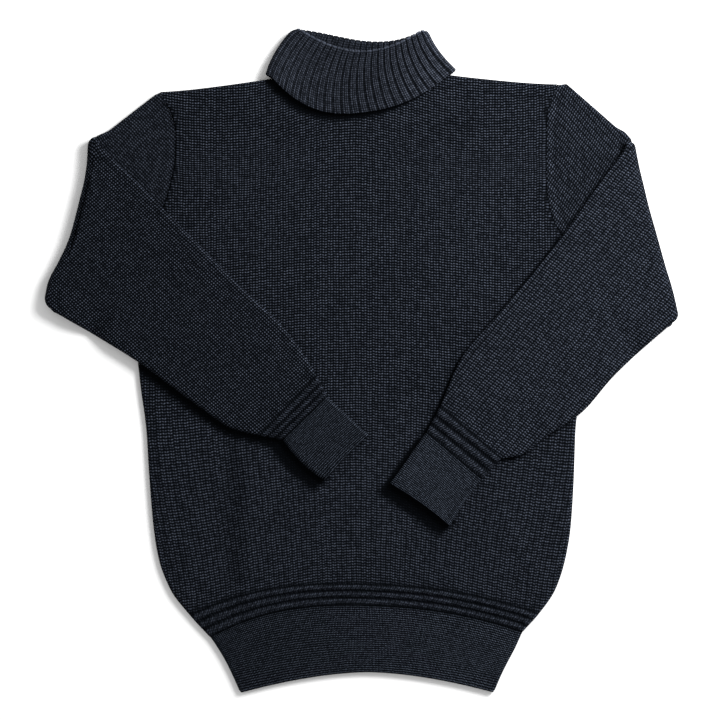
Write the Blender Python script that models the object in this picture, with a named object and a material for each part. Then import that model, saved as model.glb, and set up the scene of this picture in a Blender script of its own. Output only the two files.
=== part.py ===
"""Roll-neck sweater laid flat on its back, both sleeves folded in across the front.

Every layer of knit is a closed wall. The garment rests on z = 0, face up, with its hem
towards -Y and its collar towards +Y. The tables are in millimetres and so is all the
working; the meshes are made in metres.
"""
import math
from collections import namedtuple

import bpy
import numpy as np

MM = 0.001

# The knit and the way its layers lie on each other.
WALL = 3.8
LAYER_GAP = 0.5
SEAM_GAP = 0.4
TUBE_HALF = WALL + LAYER_GAP / 2
CORE_HALF = LAYER_GAP / 2
STACK = 2 * TUBE_HALF
FRONT_LEVEL = WALL + LAYER_GAP
PEAK = 1.0 - math.sqrt(0.5)
EDGE_INSETS = (0.0, PEAK * TUBE_HALF, TUBE_HALF)
EDGE_LIP = 0.35
SEAM_DIP = 0.3

# Three raised welts run above the hem band and above each cuff.
WELT_COUNT = 3
WELT_PITCH = 8.0
WELT_HEIGHT = 1.3
WELT_GROOVE = -0.3

# Rows of the body, from the hem seam up to the underarm: the height of the row at its
# middle, its two ends, and how far the row leans over to one side.
BodyRow = namedtuple("BodyRow", "middle_y left_x left_y right_x right_y skew")
BODY_ROWS = (
    BodyRow(-281, -174, -318, 186, -312, -8),
    BodyRow(-257, -197, -293, 205, -291, -7),
    BodyRow(-229, -219, -264, 224, -263, -5),
    BodyRow(-195, -233, -227, 235.5, -227, -3),
    BodyRow(-160, -239, -189, 241.5, -190, -1),
    BodyRow(-114, -243.5, -135, 245, -135, 0),
    BodyRow(-68, -247, -80, 247, -80, 0),
    BodyRow(-22, -254, -27, 253, -27, 0),
    BodyRow(35, -260, 34, 259, 34, 0),
    BodyRow(93, -264, 94, 262, 93, 0),
    BodyRow(118, -264, 120, 262, 108, 0),
)
BODY_ROW_HEIGHTS = (-240, -210, -175, -130, -80, -30, 20, 70, 118)
BACK_HEM_ROWS = (-281, -262)
ROW_BOW = 2.4

# The armhole seam, from above the underarm to the shoulder, on both sides, and how much
# of the neckline's dip each row across has taken up.
ArmholeRow = namedtuple("ArmholeRow", "left_x left_y right_x right_y neck_share")
ARMHOLE_ROWS = (
    ArmholeRow(-243, 145, 235, 139, 0.0),
    ArmholeRow(-229, 173, 220, 166, 0.0),
    ArmholeRow(-220, 201, 214, 196, 0.0),
    ArmholeRow(-214, 231, 213, 227, 0.15),
    ArmholeRow(-213, 258, 213, 259, 0.45),
    ArmholeRow(-217, 280, 215, 286, 0.75),
    ArmholeRow(-225, 296, 220, 303, 1.0),
)
SHOULDER_TIP = ArmholeRow(-231, 309, 226, 318, 1.0)
BACK_NECK_SHARE = 0.9

# Where the neckline starts and ends across the row, and how the top edges of the two
# panels rise to the neck corners and dip between them.
NECK_LEFT = 0.315
NECK_RIGHT = 0.699
NECK_STEPS = 8
NECK_BOW = 2.2
SHOULDER_BEND = 1.4
TopEdge = namedtuple("TopEdge", "corner_rise middle_rise")
FRONT_TOP = TopEdge(corner_rise=12, middle_rise=-5)
BACK_TOP = TopEdge(corner_rise=14.5, middle_rise=-10)
LEFT_SHOULDER_COLUMNS = (0.10, 0.21)
RIGHT_SHOULDER_COLUMNS = (0.79, 0.90)
ROLL_ANGLES = (45, 90, 135)

# Round the neck both panels are raised by the collar that is tucked under the back.
NECK_LIFT = 3.6
LIFT_CENTRE = (-1, 346)
LIFT_REACH = (115, 58)
LIFT_TOP = 1.3
LIFT_FOOT = 1.9

# The hem band, from its seam down to its edge.
HemRow = namedtuple("HemRow", "middle_y left_x left_y right_x right_y bow skew")
HEM_ROWS = (
    HemRow(-281, -174, -318, 186, -312, 2.4, -8),
    HemRow(-302, -165, -331, 177.5, -331, 2.2, -6),
    HemRow(-321, -156, -346, 169, -347, 2.0, -3),
    HemRow(-340, -148, -362, 161.5, -362, 1.8, 0),
    HemRow(-358.5, -139, -382.4, 153, -382, 1.7, 0),
)

# Each sleeve leaves the armhole, turns over the fold and comes back across the front.
# Fold: the axis it turns about, from the arm's upper edge to its underarm edge.
FOLD_RADIUS = 5.0
FOLD_ANGLES = (0, 30, 60, 90, 120, 150, 180)
UPPER_ARM_STEPS = (0.0, 0.08, 0.4, 0.75, 0.9)
BOW_REACH = 0.08
UNDERARM_GAP = 0.6
LEFT_ARM_BOW = 1.2
RIGHT_ARM_BOW = 7.6
SLEEVE_REST = STACK + LAYER_GAP
DROOP_START = 20.0
DROOP_LENGTH = 36.0
SINK = SLEEVE_REST - LAYER_GAP
FoldPoint = namedtuple("FoldPoint", "x y")
ForearmRow = namedtuple("ForearmRow", "upper_x upper_y under_x under_y")

LEFT_FOLD = (
    FoldPoint(-305, 250),
    FoldPoint(-306, 229),
    FoldPoint(-309, 206),
    FoldPoint(-314.5, 183),
    FoldPoint(-327, 137),
    FoldPoint(-338.5, 112),
    FoldPoint(-351, 87),
    FoldPoint(-356.5, 61),
)
LEFT_FOREARM = (
    ForearmRow(-305, 249, -356, 58),
    ForearmRow(-254, 202, -306, 29),
    ForearmRow(-197, 144, -254, -3),
    ForearmRow(-139, 86, -197, -45),
    ForearmRow(-86, 35, -146, -79),
    ForearmRow(-51, -17, -117, -86),
    ForearmRow(-39, -41, -90, -91),
)
LEFT_CUFF = (
    ForearmRow(-39, -41, -90, -91),
    ForearmRow(-22, -57, -74, -104),
    ForearmRow(-6, -72, -56, -120),
    ForearmRow(9, -85, -40, -134),
)
RIGHT_FOLD = (
    FoldPoint(306, 247),
    FoldPoint(311, 221),
    FoldPoint(316, 200),
    FoldPoint(322, 175),
    FoldPoint(331, 143),
    FoldPoint(341, 107),
    FoldPoint(350, 77),
    FoldPoint(357, 46),
)
RIGHT_FOREARM = (
    ForearmRow(306, 246, 357, 43),
    ForearmRow(277, 208, 330, 19),
    ForearmRow(240, 155, 287.5, -21),
    ForearmRow(200, 104, 254, -59),
    ForearmRow(160, 56, 212, -88),
    ForearmRow(114, 1, 183, -109),
    ForearmRow(91, -52, 162, -113),
    ForearmRow(75, -82, 139, -136),
)
RIGHT_CUFF = (
    ForearmRow(75, -82, 139, -136),
    ForearmRow(60, -102, 126, -155),
    ForearmRow(45, -123, 113, -176),
    ForearmRow(31, -142, 101, -195),
)
FOREARM_RINGS = 12

# The collar: a tube of wide ribs, folded outward in half. Each edge runs from the left
# end to the right end, once round the front and once round the back.
COLLAR_WALL = 2.8
COLLAR_GAP = 1.4
RIB_HEIGHT = 1.2
RIB_SLOPE = 0.22
FOLD_RIB_SHARE = 0.4
RIBS_ACROSS = 22
RIBS_ROUND_A_SIDE = 2
CollarEdge = namedtuple(
    "CollarEdge", "left_x left_y right_x right_y front_y back_y bow front_skew back_skew"
)
COLLAR_FOLD = CollarEdge(-71, 377.2, 70, 375.4, 352, 364.5, 1.9, 0, -8)
COLLAR_HEM = CollarEdge(-102, 325.5, 102, 329.5, 285, 293, 2.4, 9, 0)
COLLAR_FOOT = (-86.6, 327.6, 86.8, 331.0)
COLLAR_LEAN = -4.2
EDGE_LINE_STEPS = 80
INNER_LEG_STEPS = (0.0, 0.45, 0.8)
FOLD_STEPS = (0, 45, 90, 135, 180)
TURNED_OVER = 100
OUTER_LEG_STEPS = (0.3, 0.65, 1.0)
COLLAR_EDGE_LIFT = 2.5

SHARP_EDGE = 50

BODY_YARN = (0.018, 0.023, 0.031)
BAND_YARN = (0.016, 0.021, 0.028)
COLLAR_YARN = (0.021, 0.026, 0.035)


def smooth_step(value):
    """Eases from 0 to 1."""
    value = min(max(value, 0.0), 1.0)
    return value * value * (3.0 - 2.0 * value)


def curve_through(stations, values, at):
    """Reads a smooth curve through table values that never overshoots them."""
    stations = np.asarray(stations, dtype=float)
    values = np.asarray(values, dtype=float)
    if stations[0] > stations[-1]:
        stations = stations[::-1]
        values = values[::-1]
    steps = np.diff(stations)
    slopes = np.diff(values) / steps
    tangents = np.zeros(len(values))
    tangents[0] = slopes[0]
    tangents[-1] = slopes[-1]
    for index in range(1, len(values) - 1):
        before = slopes[index - 1]
        after = slopes[index]
        if before * after > 0:
            tangents[index] = 2 * before * after / (before + after)
    span = int(np.clip(np.searchsorted(stations, at) - 1, 0, len(steps) - 1))
    step = steps[span]
    t = min(max((at - stations[span]) / step, 0.0), 1.0)
    return float(
        values[span] * (2 * t**3 - 3 * t**2 + 1)
        + tangents[span] * step * (t**3 - 2 * t**2 + t)
        + values[span + 1] * (3 * t**2 - 2 * t**3)
        + tangents[span + 1] * step * (t**3 - t**2)
    )


def read_rows(rows, at, row_type):
    """Reads a whole table between its rows; a row's number is its station."""
    numbers = range(len(rows))
    return row_type(*(curve_through(numbers, column, at) for column in zip(*rows)))


def body_row(middle_y):
    """The row of the body that passes through middle_y at its middle."""
    heights = [row.middle_y for row in BODY_ROWS]
    return BodyRow(*(curve_through(heights, column, middle_y) for column in zip(*BODY_ROWS)))


def neck_lift(x, y):
    """How far the panels are raised over the tucked-under collar."""
    reach_x = (x - LIFT_CENTRE[0]) / LIFT_REACH[0]
    reach_y = (y - LIFT_CENTRE[1]) / LIFT_REACH[1]
    reach = math.hypot(reach_x, reach_y)
    return NECK_LIFT * smooth_step((LIFT_FOOT - reach) / (LIFT_FOOT - LIFT_TOP))


# Closed walls ---------------------------------------------------------------------------


def wall_object(name, material, outer, inner, faces):
    """Closes two matched sets of points, a wall apart, into one solid."""
    used = sorted({index for face in faces for index in face})
    number = {index: place for place, index in enumerate(used)}
    count = len(used)
    outer_faces = [tuple(number[index] for index in face) for face in faces]
    edges = set()
    for face in outer_faces:
        edges.update(zip(face, face[1:] + face[:1]))
    rim = [edge for edge in sorted(edges) if (edge[1], edge[0]) not in edges]
    inner_faces = [tuple(index + count for index in reversed(face)) for face in outer_faces]
    rim_faces = []
    for start, end in rim:
        rim_faces.append((end, start, start + count))
        rim_faces.append((end, start + count, end + count))
    points = [outer[index] for index in used] + [inner[index] for index in used]
    solid_faces = outer_faces + inner_faces + rim_faces
    if enclosed_volume(points, solid_faces) < 0:
        solid_faces = [tuple(reversed(face)) for face in solid_faces]
    mesh = bpy.data.meshes.new(name)
    mesh.from_pydata([tuple(MM * value for value in point) for point in points], [], solid_faces)
    mesh.shade_smooth()
    mesh.set_sharp_from_angle(angle=math.radians(SHARP_EDGE))
    mesh.materials.append(material)
    piece = bpy.data.objects.new(name, mesh)
    bpy.context.scene.collection.objects.link(piece)
    return piece


def enclosed_volume(points, faces):
    """Signed volume, positive where the faces point out."""
    volume = 0.0
    for first, second, third in faces:
        volume += np.dot(points[first], np.cross(points[second], points[third])) / 6.0
    return volume


def grid_triangles(rows, columns, closed):
    """Triangles of a grid whose points are numbered row by row.

    Round a tube the second half is split the other way, so that the layers of a
    flattened tube keep the same creases where they lie on each other.
    """
    faces = []
    for row in range(rows - 1):
        for column in range(columns if closed else columns - 1):
            beside = (column + 1) % columns
            base = row * columns
            corners = (base + column, base + beside, base + columns + beside, base + columns + column)
            if closed and column >= columns // 2:
                faces.append((corners[0], corners[1], corners[3]))
                faces.append((corners[1], corners[2], corners[3]))
            else:
                faces.append((corners[0], corners[1], corners[2]))
                faces.append((corners[0], corners[2], corners[3]))
    return faces


def knit_material(name, colour):
    """Plain woollen finish."""
    material = bpy.data.materials.new(name)
    material.use_nodes = True
    shader = material.node_tree.nodes["Principled BSDF"]
    shader.inputs["Base Color"].default_value = (*colour, 1.0)
    shader.inputs["Roughness"].default_value = 0.95
    shader.inputs["Metallic"].default_value = 0.0
    return material


# Front and back panels ------------------------------------------------------------------


def column_fractions(width):
    """Where the columns of a panel or of the hem band stand, from its left end."""
    edges = [inset / width for inset in EDGE_INSETS]
    neck = [
        NECK_LEFT + (NECK_RIGHT - NECK_LEFT) * step / NECK_STEPS
        for step in range(NECK_STEPS + 1)
    ]
    inside = [*LEFT_SHOULDER_COLUMNS, *neck, *RIGHT_SHOULDER_COLUMNS]
    return [*edges, *inside, *(1.0 - edge for edge in reversed(edges))]


def across(row, bow, fraction):
    """A point of a body or hem row."""
    side = 2.0 * fraction - 1.0
    middle = (row.left_y + row.right_y) / 2.0
    x = row.left_x + (row.right_x - row.left_x) * fraction
    y = row.left_y + (row.right_y - row.left_y) * fraction
    y += (row.middle_y - middle) * (1.0 - abs(side) ** bow)
    y += row.skew * side * (1.0 - side * side)
    return x, y


def top_rise(edge, fraction):
    """How far a panel's top edge stands above the line between its ends."""
    if fraction < NECK_LEFT:
        return edge.corner_rise * (fraction / NECK_LEFT) ** SHOULDER_BEND
    if fraction > NECK_RIGHT:
        return edge.corner_rise * ((1.0 - fraction) / (1.0 - NECK_RIGHT)) ** SHOULDER_BEND
    side = (2.0 * fraction - NECK_LEFT - NECK_RIGHT) / (NECK_RIGHT - NECK_LEFT)
    return edge.middle_rise + (edge.corner_rise - edge.middle_rise) * abs(side) ** NECK_BOW


def armhole_line(station, share, edge, fraction):
    """A point of a row between the armholes, a seam's gap inside them."""
    left_x = station.left_x + SEAM_GAP
    right_x = station.right_x - SEAM_GAP
    x = left_x + (right_x - left_x) * fraction
    y = station.left_y + (station.right_y - station.left_y) * fraction
    return x, y + share * top_rise(edge, fraction)


def row_points(row):
    """The points of one body row."""
    width = row.right_x - row.left_x
    return [across(row, ROW_BOW, fraction) for fraction in column_fractions(width)]


def armhole_points(station, share, edge):
    """The points of one row between the armholes."""
    width = station.right_x - station.left_x
    return [armhole_line(station, share, edge, part) for part in column_fractions(width)]


def edge_drop(column, columns):
    """How far the outer face turns in at a panel's side edges."""
    from_edge = min(column, columns - 1 - column)
    if from_edge >= len(EDGE_INSETS):
        return 0.0
    turned = 1.0 - EDGE_INSETS[from_edge] / TUBE_HALF
    full = TUBE_HALF * (1.0 - math.sqrt(1.0 - turned * turned))
    return min(full, WALL - EDGE_LIP)


def welt_profile():
    """Distance above the seam and height of each row of the welts."""
    profile = []
    for step in range(2 * WELT_COUNT):
        crest = step % 2 == 1
        profile.append((step * WELT_PITCH / 2.0, WELT_HEIGHT if crest else WELT_GROOVE))
    profile.append((WELT_COUNT * WELT_PITCH, 0.0))
    return profile


def front_panel(material):
    """The front, with the welts raised in its outer face."""
    lowest = BODY_ROWS[0].middle_y
    rows = []
    for distance, height in welt_profile():
        rows.append((row_points(body_row(lowest + distance)), height, 1.0))
    for middle_y in BODY_ROW_HEIGHTS:
        rows.append((row_points(body_row(middle_y)), 0.0, 1.0))
    for station in ARMHOLE_ROWS:
        share = station.neck_share * BACK_NECK_SHARE
        rows.append((armhole_points(station, share, BACK_TOP), 0.0, SEAM_DIP))
    rows[-1] = (armhole_points(ARMHOLE_ROWS[-1], 1.0, FRONT_TOP), 0.0, SEAM_DIP)
    columns = len(rows[0][0])
    outer = []
    inner = []
    for points, height, turn in rows:
        for column, (x, y) in enumerate(points):
            lift = neck_lift(x, y)
            drop = turn * edge_drop(column, columns)
            raised = height if drop == 0.0 else 0.0
            outer.append((x, y, lift + STACK - drop + raised))
            inner.append((x, y, lift + FRONT_LEVEL))
    return wall_object("front", material, outer, inner, grid_triangles(len(rows), columns, False))


def shoulder_line(fraction):
    """The outermost line of the shoulders and, between them, the back neckline."""
    return armhole_line(SHOULDER_TIP, 1.0, BACK_TOP, fraction)


def roll_direction(fraction):
    """The way the back turns up at the shoulder, in plan."""
    last = ARMHOLE_ROWS[-1]
    if fraction < 0.5:
        run = (SHOULDER_TIP.left_x - last.left_x, SHOULDER_TIP.left_y - last.left_y)
        ease = smooth_step(1.0 - fraction / LEFT_SHOULDER_COLUMNS[-1])
    else:
        run = (SHOULDER_TIP.right_x - last.right_x, SHOULDER_TIP.right_y - last.right_y)
        ease = smooth_step(1.0 - (1.0 - fraction) / (1.0 - RIGHT_SHOULDER_COLUMNS[0]))
    lean = run[0] / run[1] * ease
    length = math.hypot(lean, 1.0)
    return lean / length, 1.0 / length


def back_panel(material):
    """The back, which turns over the shoulders and ends at the front's shoulder seams."""
    fractions = column_fractions(SHOULDER_TIP.right_x - SHOULDER_TIP.left_x)
    columns = len(fractions)
    outer = []
    inner = []

    def add_row(points, turn):
        for column, (x, y) in enumerate(points):
            lift = neck_lift(x, y)
            outer.append((x, y, lift + turn * edge_drop(column, columns)))
            inner.append((x, y, lift + WALL))

    for middle_y in (*BACK_HEM_ROWS, *BODY_ROW_HEIGHTS):
        add_row(row_points(body_row(middle_y)), 1.0)
    for station in ARMHOLE_ROWS:
        share = station.neck_share * BACK_NECK_SHARE
        add_row(armhole_points(station, share, BACK_TOP), SEAM_DIP)

    base = []
    for fraction in fractions:
        x, y = shoulder_line(fraction)
        if NECK_LEFT < fraction < NECK_RIGHT:
            base.append((x, y))
        else:
            lean_x, lean_y = roll_direction(fraction)
            base.append((x - lean_x * TUBE_HALF, y - lean_y * TUBE_HALF))
    add_row(base, SEAM_DIP)
    body_rows = len(outer) // columns

    for angle in ROLL_ANGLES:
        turn = math.radians(angle)
        for fraction, (x, y) in zip(fractions, base):
            lean_x, lean_y = roll_direction(fraction)
            lift = neck_lift(x, y)
            for points, radius in ((outer, TUBE_HALF), (inner, CORE_HALF)):
                reach = radius * math.sin(turn)
                points.append(
                    (x + lean_x * reach, y + lean_y * reach, lift + TUBE_HALF - radius * math.cos(turn))
                )
    seam = armhole_points(ARMHOLE_ROWS[-1], 1.0, FRONT_TOP)
    for points, shift in ((base, 0.0), (seam, SEAM_GAP)):
        for column, (x, y) in enumerate(points):
            lift = neck_lift(x, y)
            drop = SEAM_DIP * edge_drop(column, columns)
            outer.append((x, y + shift, lift + STACK - drop))
            inner.append((x, y + shift, lift + FRONT_LEVEL))

    faces = grid_triangles(len(outer) // columns, columns, False)
    kept = []
    for place, face in enumerate(faces):
        row, column = divmod(place // 2, columns - 1)
        middle = (fractions[column] + fractions[column + 1]) / 2.0
        if row < body_rows - 1 or not NECK_LEFT < middle < NECK_RIGHT:
            kept.append(face)
    return wall_object("back", material, outer, inner, kept)


# Flattened tubes ------------------------------------------------------------------------

# One point of a flattened tube's ring: the place on the path across it, the step beyond
# the path's end, and the angle round the tube's rounded edge.
RingSpot = namedtuple("RingSpot", "place beyond sine")


def ring_spots(places):
    """Top face from first place to last, round the far edge, back, round the near edge."""
    last = places - 1
    half = math.sqrt(0.5)
    spots = [RingSpot(place, 0.0, 1.0) for place in range(places)]
    spots += [RingSpot(last, half, half), RingSpot(last, 1.0, 0.0), RingSpot(last, half, -half)]
    spots += [RingSpot(place, 0.0, -1.0) for place in reversed(range(places))]
    spots += [RingSpot(0, half, -half), RingSpot(0, 1.0, 0.0), RingSpot(0, half, half)]
    return spots


def inset_path(path):
    """Draws both ends of a path in by the tube's half height."""
    path = [np.array(point, dtype=float) for point in path]
    near = path[1] - path[0]
    far = path[-2] - path[-1]
    start = path[0] + near * (TUBE_HALF / np.linalg.norm(near))
    end = path[-1] + far * (TUBE_HALF / np.linalg.norm(far))
    return [start, *path[1:-1], end]


def tube_ring(path, half, place_point, raised=0.0):
    """The points of one ring. raised lifts the face that looks up after the fold."""
    inside = inset_path(path)
    beyond = {
        0: (inside[0] - inside[1]) / np.linalg.norm(inside[0] - inside[1]),
        len(inside) - 1: (inside[-1] - inside[-2]) / np.linalg.norm(inside[-1] - inside[-2]),
    }
    points = []
    for spot in ring_spots(len(inside)):
        spread = spot.beyond * half
        xy = inside[spot.place] + (beyond[spot.place] * spread if spread else 0.0)
        offset = spot.sine * half
        if spot.sine < 0:
            offset += spot.sine * raised
        points.append(place_point(xy, offset))
    return points


def hem_band(material):
    """The band below the welts, one flattened tube round both panels."""
    outer = []
    inner = []
    for number, row in enumerate(HEM_ROWS):
        shift = SEAM_GAP if number == 0 else 0.0
        fractions = column_fractions(row.right_x - row.left_x)
        inside = len(EDGE_INSETS) - 1
        picked = [0.0, *fractions[inside + 1 : -inside - 1], 1.0]
        path = [across(row, row.bow, fraction) for fraction in picked]

        def lay_flat(xy, offset, shift=shift):
            return (xy[0], xy[1] - shift, TUBE_HALF + offset)

        outer += tube_ring(path, TUBE_HALF, lay_flat)
        inner += tube_ring(path, CORE_HALF, lay_flat)
    count = len(outer) // len(HEM_ROWS)
    return wall_object("hem_band", material, outer, inner, grid_triangles(len(HEM_ROWS), count, True))


# Sleeves --------------------------------------------------------------------------------


class SleeveLay:
    """How one sleeve lies: its armhole, its fold and what holds its forearm up."""

    def __init__(self, side, fold, forearm, bow):
        left = side == "left"
        self.sign = -1.0 if left else 1.0
        self.bow = bow
        stations = [SHOULDER_TIP, *reversed(ARMHOLE_ROWS), BODY_ROWS[-1]]
        if left:
            self.armhole = [np.array((row.left_x, row.left_y), float) for row in stations]
        else:
            self.armhole = [np.array((row.right_x, row.right_y), float) for row in stations]
        self.armhole[-1][0] += self.sign * UNDERARM_GAP
        self.armhole.insert(-1, (self.armhole[-2] + self.armhole[-1]) / 2.0)
        lengths = [0.0]
        for start, end in zip(self.armhole, self.armhole[1:]):
            lengths.append(lengths[-1] + float(np.linalg.norm(end - start)))
        self.parts = [length / lengths[-1] for length in lengths]
        numbers = np.linspace(0.0, 1.0, len(fold))
        self.fold = [
            np.array([curve_through(numbers, column, part) for column in zip(*fold)])
            for part in self.parts
        ]
        run = self.fold[-1] - self.fold[0]
        self.outward = np.array((-run[1], run[0])) / np.linalg.norm(run)
        if self.outward[0] * self.sign < 0:
            self.outward = -self.outward
        self.forearm = forearm
        edge = self.fold[0] - self.armhole[0]
        self.upward = np.array((abs(edge[1]), abs(edge[0]))) / np.linalg.norm(edge)
        self.upward[0] *= self.sign

    def upper_path(self, share):
        """The upper arm is ruled from the armhole to the fold, with its upper edge bowed out."""
        path = [start + (end - start) * share for start, end in zip(self.armhole, self.fold)]
        path[0] = path[0] + self.upward * self.bow * smooth_step(share / BOW_REACH)
        return path

    def forearm_path(self, rows, at):
        """A path across the forearm or the cuff."""
        row = read_rows(rows, at, ForearmRow)
        upper = np.array((row.upper_x, row.upper_y))
        under = np.array((row.under_x, row.under_y))
        return [upper + (under - upper) * part for part in self.parts]

    def support_drop(self, x, y):
        """How far the forearm sinks where neither the body nor the upper arm is below."""
        if self.sign < 0:
            edge = [(row.left_x, row.left_y) for row in BODY_ROWS]
        else:
            edge = [(row.right_x, row.right_y) for row in BODY_ROWS]
        edge_x = curve_through([point[1] for point in edge], [point[0] for point in edge], y)
        off_body = max(self.sign * (x - edge_x), 0.0)
        start = self.armhole[-1]
        along = self.fold[-1] - start
        below = np.array((along[1], -along[0])) / np.linalg.norm(along)
        if below[1] > 0:
            below = -below
        off_arm = max(float(np.dot(np.array((x, y)) - start, below)), 0.0)
        return SINK * smooth_step((min(off_body, off_arm) - DROOP_START) / DROOP_LENGTH)

    def lay_upper(self, xy, offset):
        return (xy[0], xy[1], TUBE_HALF + offset)

    def lay_fold(self, xy, offset, angle):
        radius = FOLD_RADIUS - offset
        reach = radius * math.sin(angle)
        height = TUBE_HALF + FOLD_RADIUS - radius * math.cos(angle)
        return (xy[0] + self.outward[0] * reach, xy[1] + self.outward[1] * reach, height)

    def lay_forearm(self, xy, offset, bulge):
        rest = SLEEVE_REST + TUBE_HALF - self.support_drop(xy[0], xy[1])
        rolled = TUBE_HALF + 2.0 * FOLD_RADIUS
        return (xy[0], xy[1], rest + (rolled - rest) * bulge - offset)


def sleeve(name, material, lay):
    """A sleeve from its armhole to the seam of its cuff."""
    outer = []
    inner = []

    def add_ring(path, place_point, raised=0.0):
        outer.extend(tube_ring(path, TUBE_HALF, place_point, raised))
        inner.extend(tube_ring(path, CORE_HALF, place_point))

    for share in UPPER_ARM_STEPS:
        add_ring(lay.upper_path(share), lay.lay_upper)
    for angle in FOLD_ANGLES:
        turn = math.radians(angle)
        add_ring(lay.fold, lambda xy, offset, turn=turn: lay.lay_fold(xy, offset, turn))

    welts_start = len(lay.forearm) - 2
    for number in range(1, FOREARM_RINGS + 1):
        at = welts_start * number / FOREARM_RINGS
        bulge = 1.0 - smooth_step(at)
        add_ring(
            lay.forearm_path(lay.forearm, at),
            lambda xy, offset, bulge=bulge: lay.lay_forearm(xy, offset, bulge),
        )
    profile = welt_profile()
    for distance, height in reversed(profile[:-1]):
        at = welts_start + 1.0 - distance / (WELT_COUNT * WELT_PITCH)
        add_ring(
            lay.forearm_path(lay.forearm, at),
            lambda xy, offset: lay.lay_forearm(xy, offset, 0.0),
            height,
        )
    count = len(tube_ring(lay.fold, TUBE_HALF, lay.lay_upper))
    rings = len(outer) // count
    return wall_object(name, material, outer, inner, grid_triangles(rings, count, True))


def cuff(name, material, lay, rows):
    """A cuff, laid on the front panel beyond the end of its sleeve."""
    outer = []
    inner = []
    start = np.array((rows[0].upper_x + rows[0].under_x, rows[0].upper_y + rows[0].under_y)) / 2.0
    end = np.array((rows[-1].upper_x + rows[-1].under_x, rows[-1].upper_y + rows[-1].under_y)) / 2.0
    gap = (end - start) / np.linalg.norm(end - start) * SEAM_GAP
    for number in range(len(rows)):
        path = lay.forearm_path(rows, number)
        if number == 0:
            path = [point + gap for point in path]
        outer += tube_ring(path, TUBE_HALF, lambda xy, offset: lay.lay_forearm(xy, offset, 0.0))
        inner += tube_ring(path, CORE_HALF, lambda xy, offset: lay.lay_forearm(xy, offset, 0.0))
    count = len(outer) // len(rows)
    return wall_object(name, material, outer, inner, grid_triangles(len(rows), count, True))


# Collar ---------------------------------------------------------------------------------


def neck_seam(front):
    """The line that the collar's foot follows, a seam's gap inside the neckline."""
    fractions = [
        NECK_LEFT + (NECK_RIGHT - NECK_LEFT) * step / NECK_STEPS
        for step in range(NECK_STEPS + 1)
    ]
    left_x, left_y, right_x, right_y = COLLAR_FOOT
    back = [armhole_line(SHOULDER_TIP, 1.0, BACK_TOP, fraction) for fraction in fractions]
    back[0] = (back[0][0], back[0][1] - TUBE_HALF)
    back[-1] = (back[-1][0], back[-1][1] - TUBE_HALF)
    line = back
    if front:
        edge = [armhole_line(ARMHOLE_ROWS[-1], 1.0, FRONT_TOP, fraction) for fraction in fractions]
        line = [back[0], *edge, back[-1]]
    middle = (left_x + right_x) / 2.0
    inside = []
    for x, y in line:
        side = min(max((middle - x) / (right_x - middle), -1.0), 1.0)
        inside.append((x + SEAM_GAP * side, y + SEAM_GAP))
    return [(left_x, left_y), *inside, (right_x, right_y)]


def edge_line(edge, front):
    """The fold or the free edge of the collar, as a fine line of points."""
    middle_y = edge.front_y if front else edge.back_y
    skew = edge.front_skew if front else edge.back_skew
    line = []
    for step in range(EDGE_LINE_STEPS + 1):
        share = step / EDGE_LINE_STEPS
        side = 2.0 * share - 1.0
        x = edge.left_x + (edge.right_x - edge.left_x) * share
        y = edge.left_y + (edge.right_y - edge.left_y) * share
        y += (middle_y - (edge.left_y + edge.right_y) / 2.0) * (1.0 - abs(side) ** edge.bow)
        line.append((x, y + skew * side * (1.0 - side * side)))
    return line


def points_along(line, shares):
    """Points at the given shares of a line's length."""
    line = np.array(line, dtype=float)
    lengths = np.concatenate(([0.0], np.cumsum(np.linalg.norm(np.diff(line, axis=0), axis=1))))
    at = np.array(shares) * lengths[-1]
    return np.stack([np.interp(at, lengths, line[:, axis]) for axis in (0, 1)], axis=1)


def rib_columns():
    """Where the columns of one run stand and whether each is on a rib's flat top."""
    places = []
    for rib in range(RIBS_ACROSS):
        places += [(rib, 0.0), (rib + RIB_SLOPE, 1.0), (rib + 1.0 - RIB_SLOPE, 1.0)]
    places.append((RIBS_ACROSS, 0.0))
    shares = [place / RIBS_ACROSS for place, crest in places]
    crests = [crest for place, crest in places]
    return shares, crests


# One column round the collar: its foot, fold and free edge in plan, its turn from the
# front run (90 degrees) to the back run (-90), the side it goes round and its rib.
CollarColumn = namedtuple("CollarColumn", "foot fold hem turn side crest")


def collar_columns():
    """The columns round the collar: front run, right side, back run, left side."""
    shares, crests = rib_columns()
    front, back = (
        [
            points_along(line, shares)
            for line in (neck_seam(run), edge_line(COLLAR_FOLD, run), edge_line(COLLAR_HEM, run))
        ]
        for run in (True, False)
    )
    side_steps = 2 * RIBS_ROUND_A_SIDE
    columns = []
    for index, crest in enumerate(crests):
        columns.append(CollarColumn(*(line[index] for line in front), 90.0, 0.0, crest))
    for index in range(1, side_steps):
        turn = 90.0 - 180.0 * index / side_steps
        columns.append(CollarColumn(*(line[-1] for line in front), turn, 1.0, index % 2))
    for index, crest in reversed(list(enumerate(crests))):
        columns.append(CollarColumn(*(line[index] for line in back), -90.0, 0.0, crest))
    for index in range(1, side_steps):
        turn = -90.0 + 180.0 * index / side_steps
        columns.append(CollarColumn(*(line[0] for line in back), turn, -1.0, index % 2))
    return columns


def collar_profile():
    """Stations down the strip: leg (0 inner, 1 outer), share of that leg, fold angle."""
    stations = [(0, step, 0.0) for step in INNER_LEG_STEPS]
    stations += [(0, 1.0, math.radians(angle)) for angle in FOLD_STEPS]
    stations += [(1, step, math.pi) for step in OUTER_LEG_STEPS]
    return stations


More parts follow.
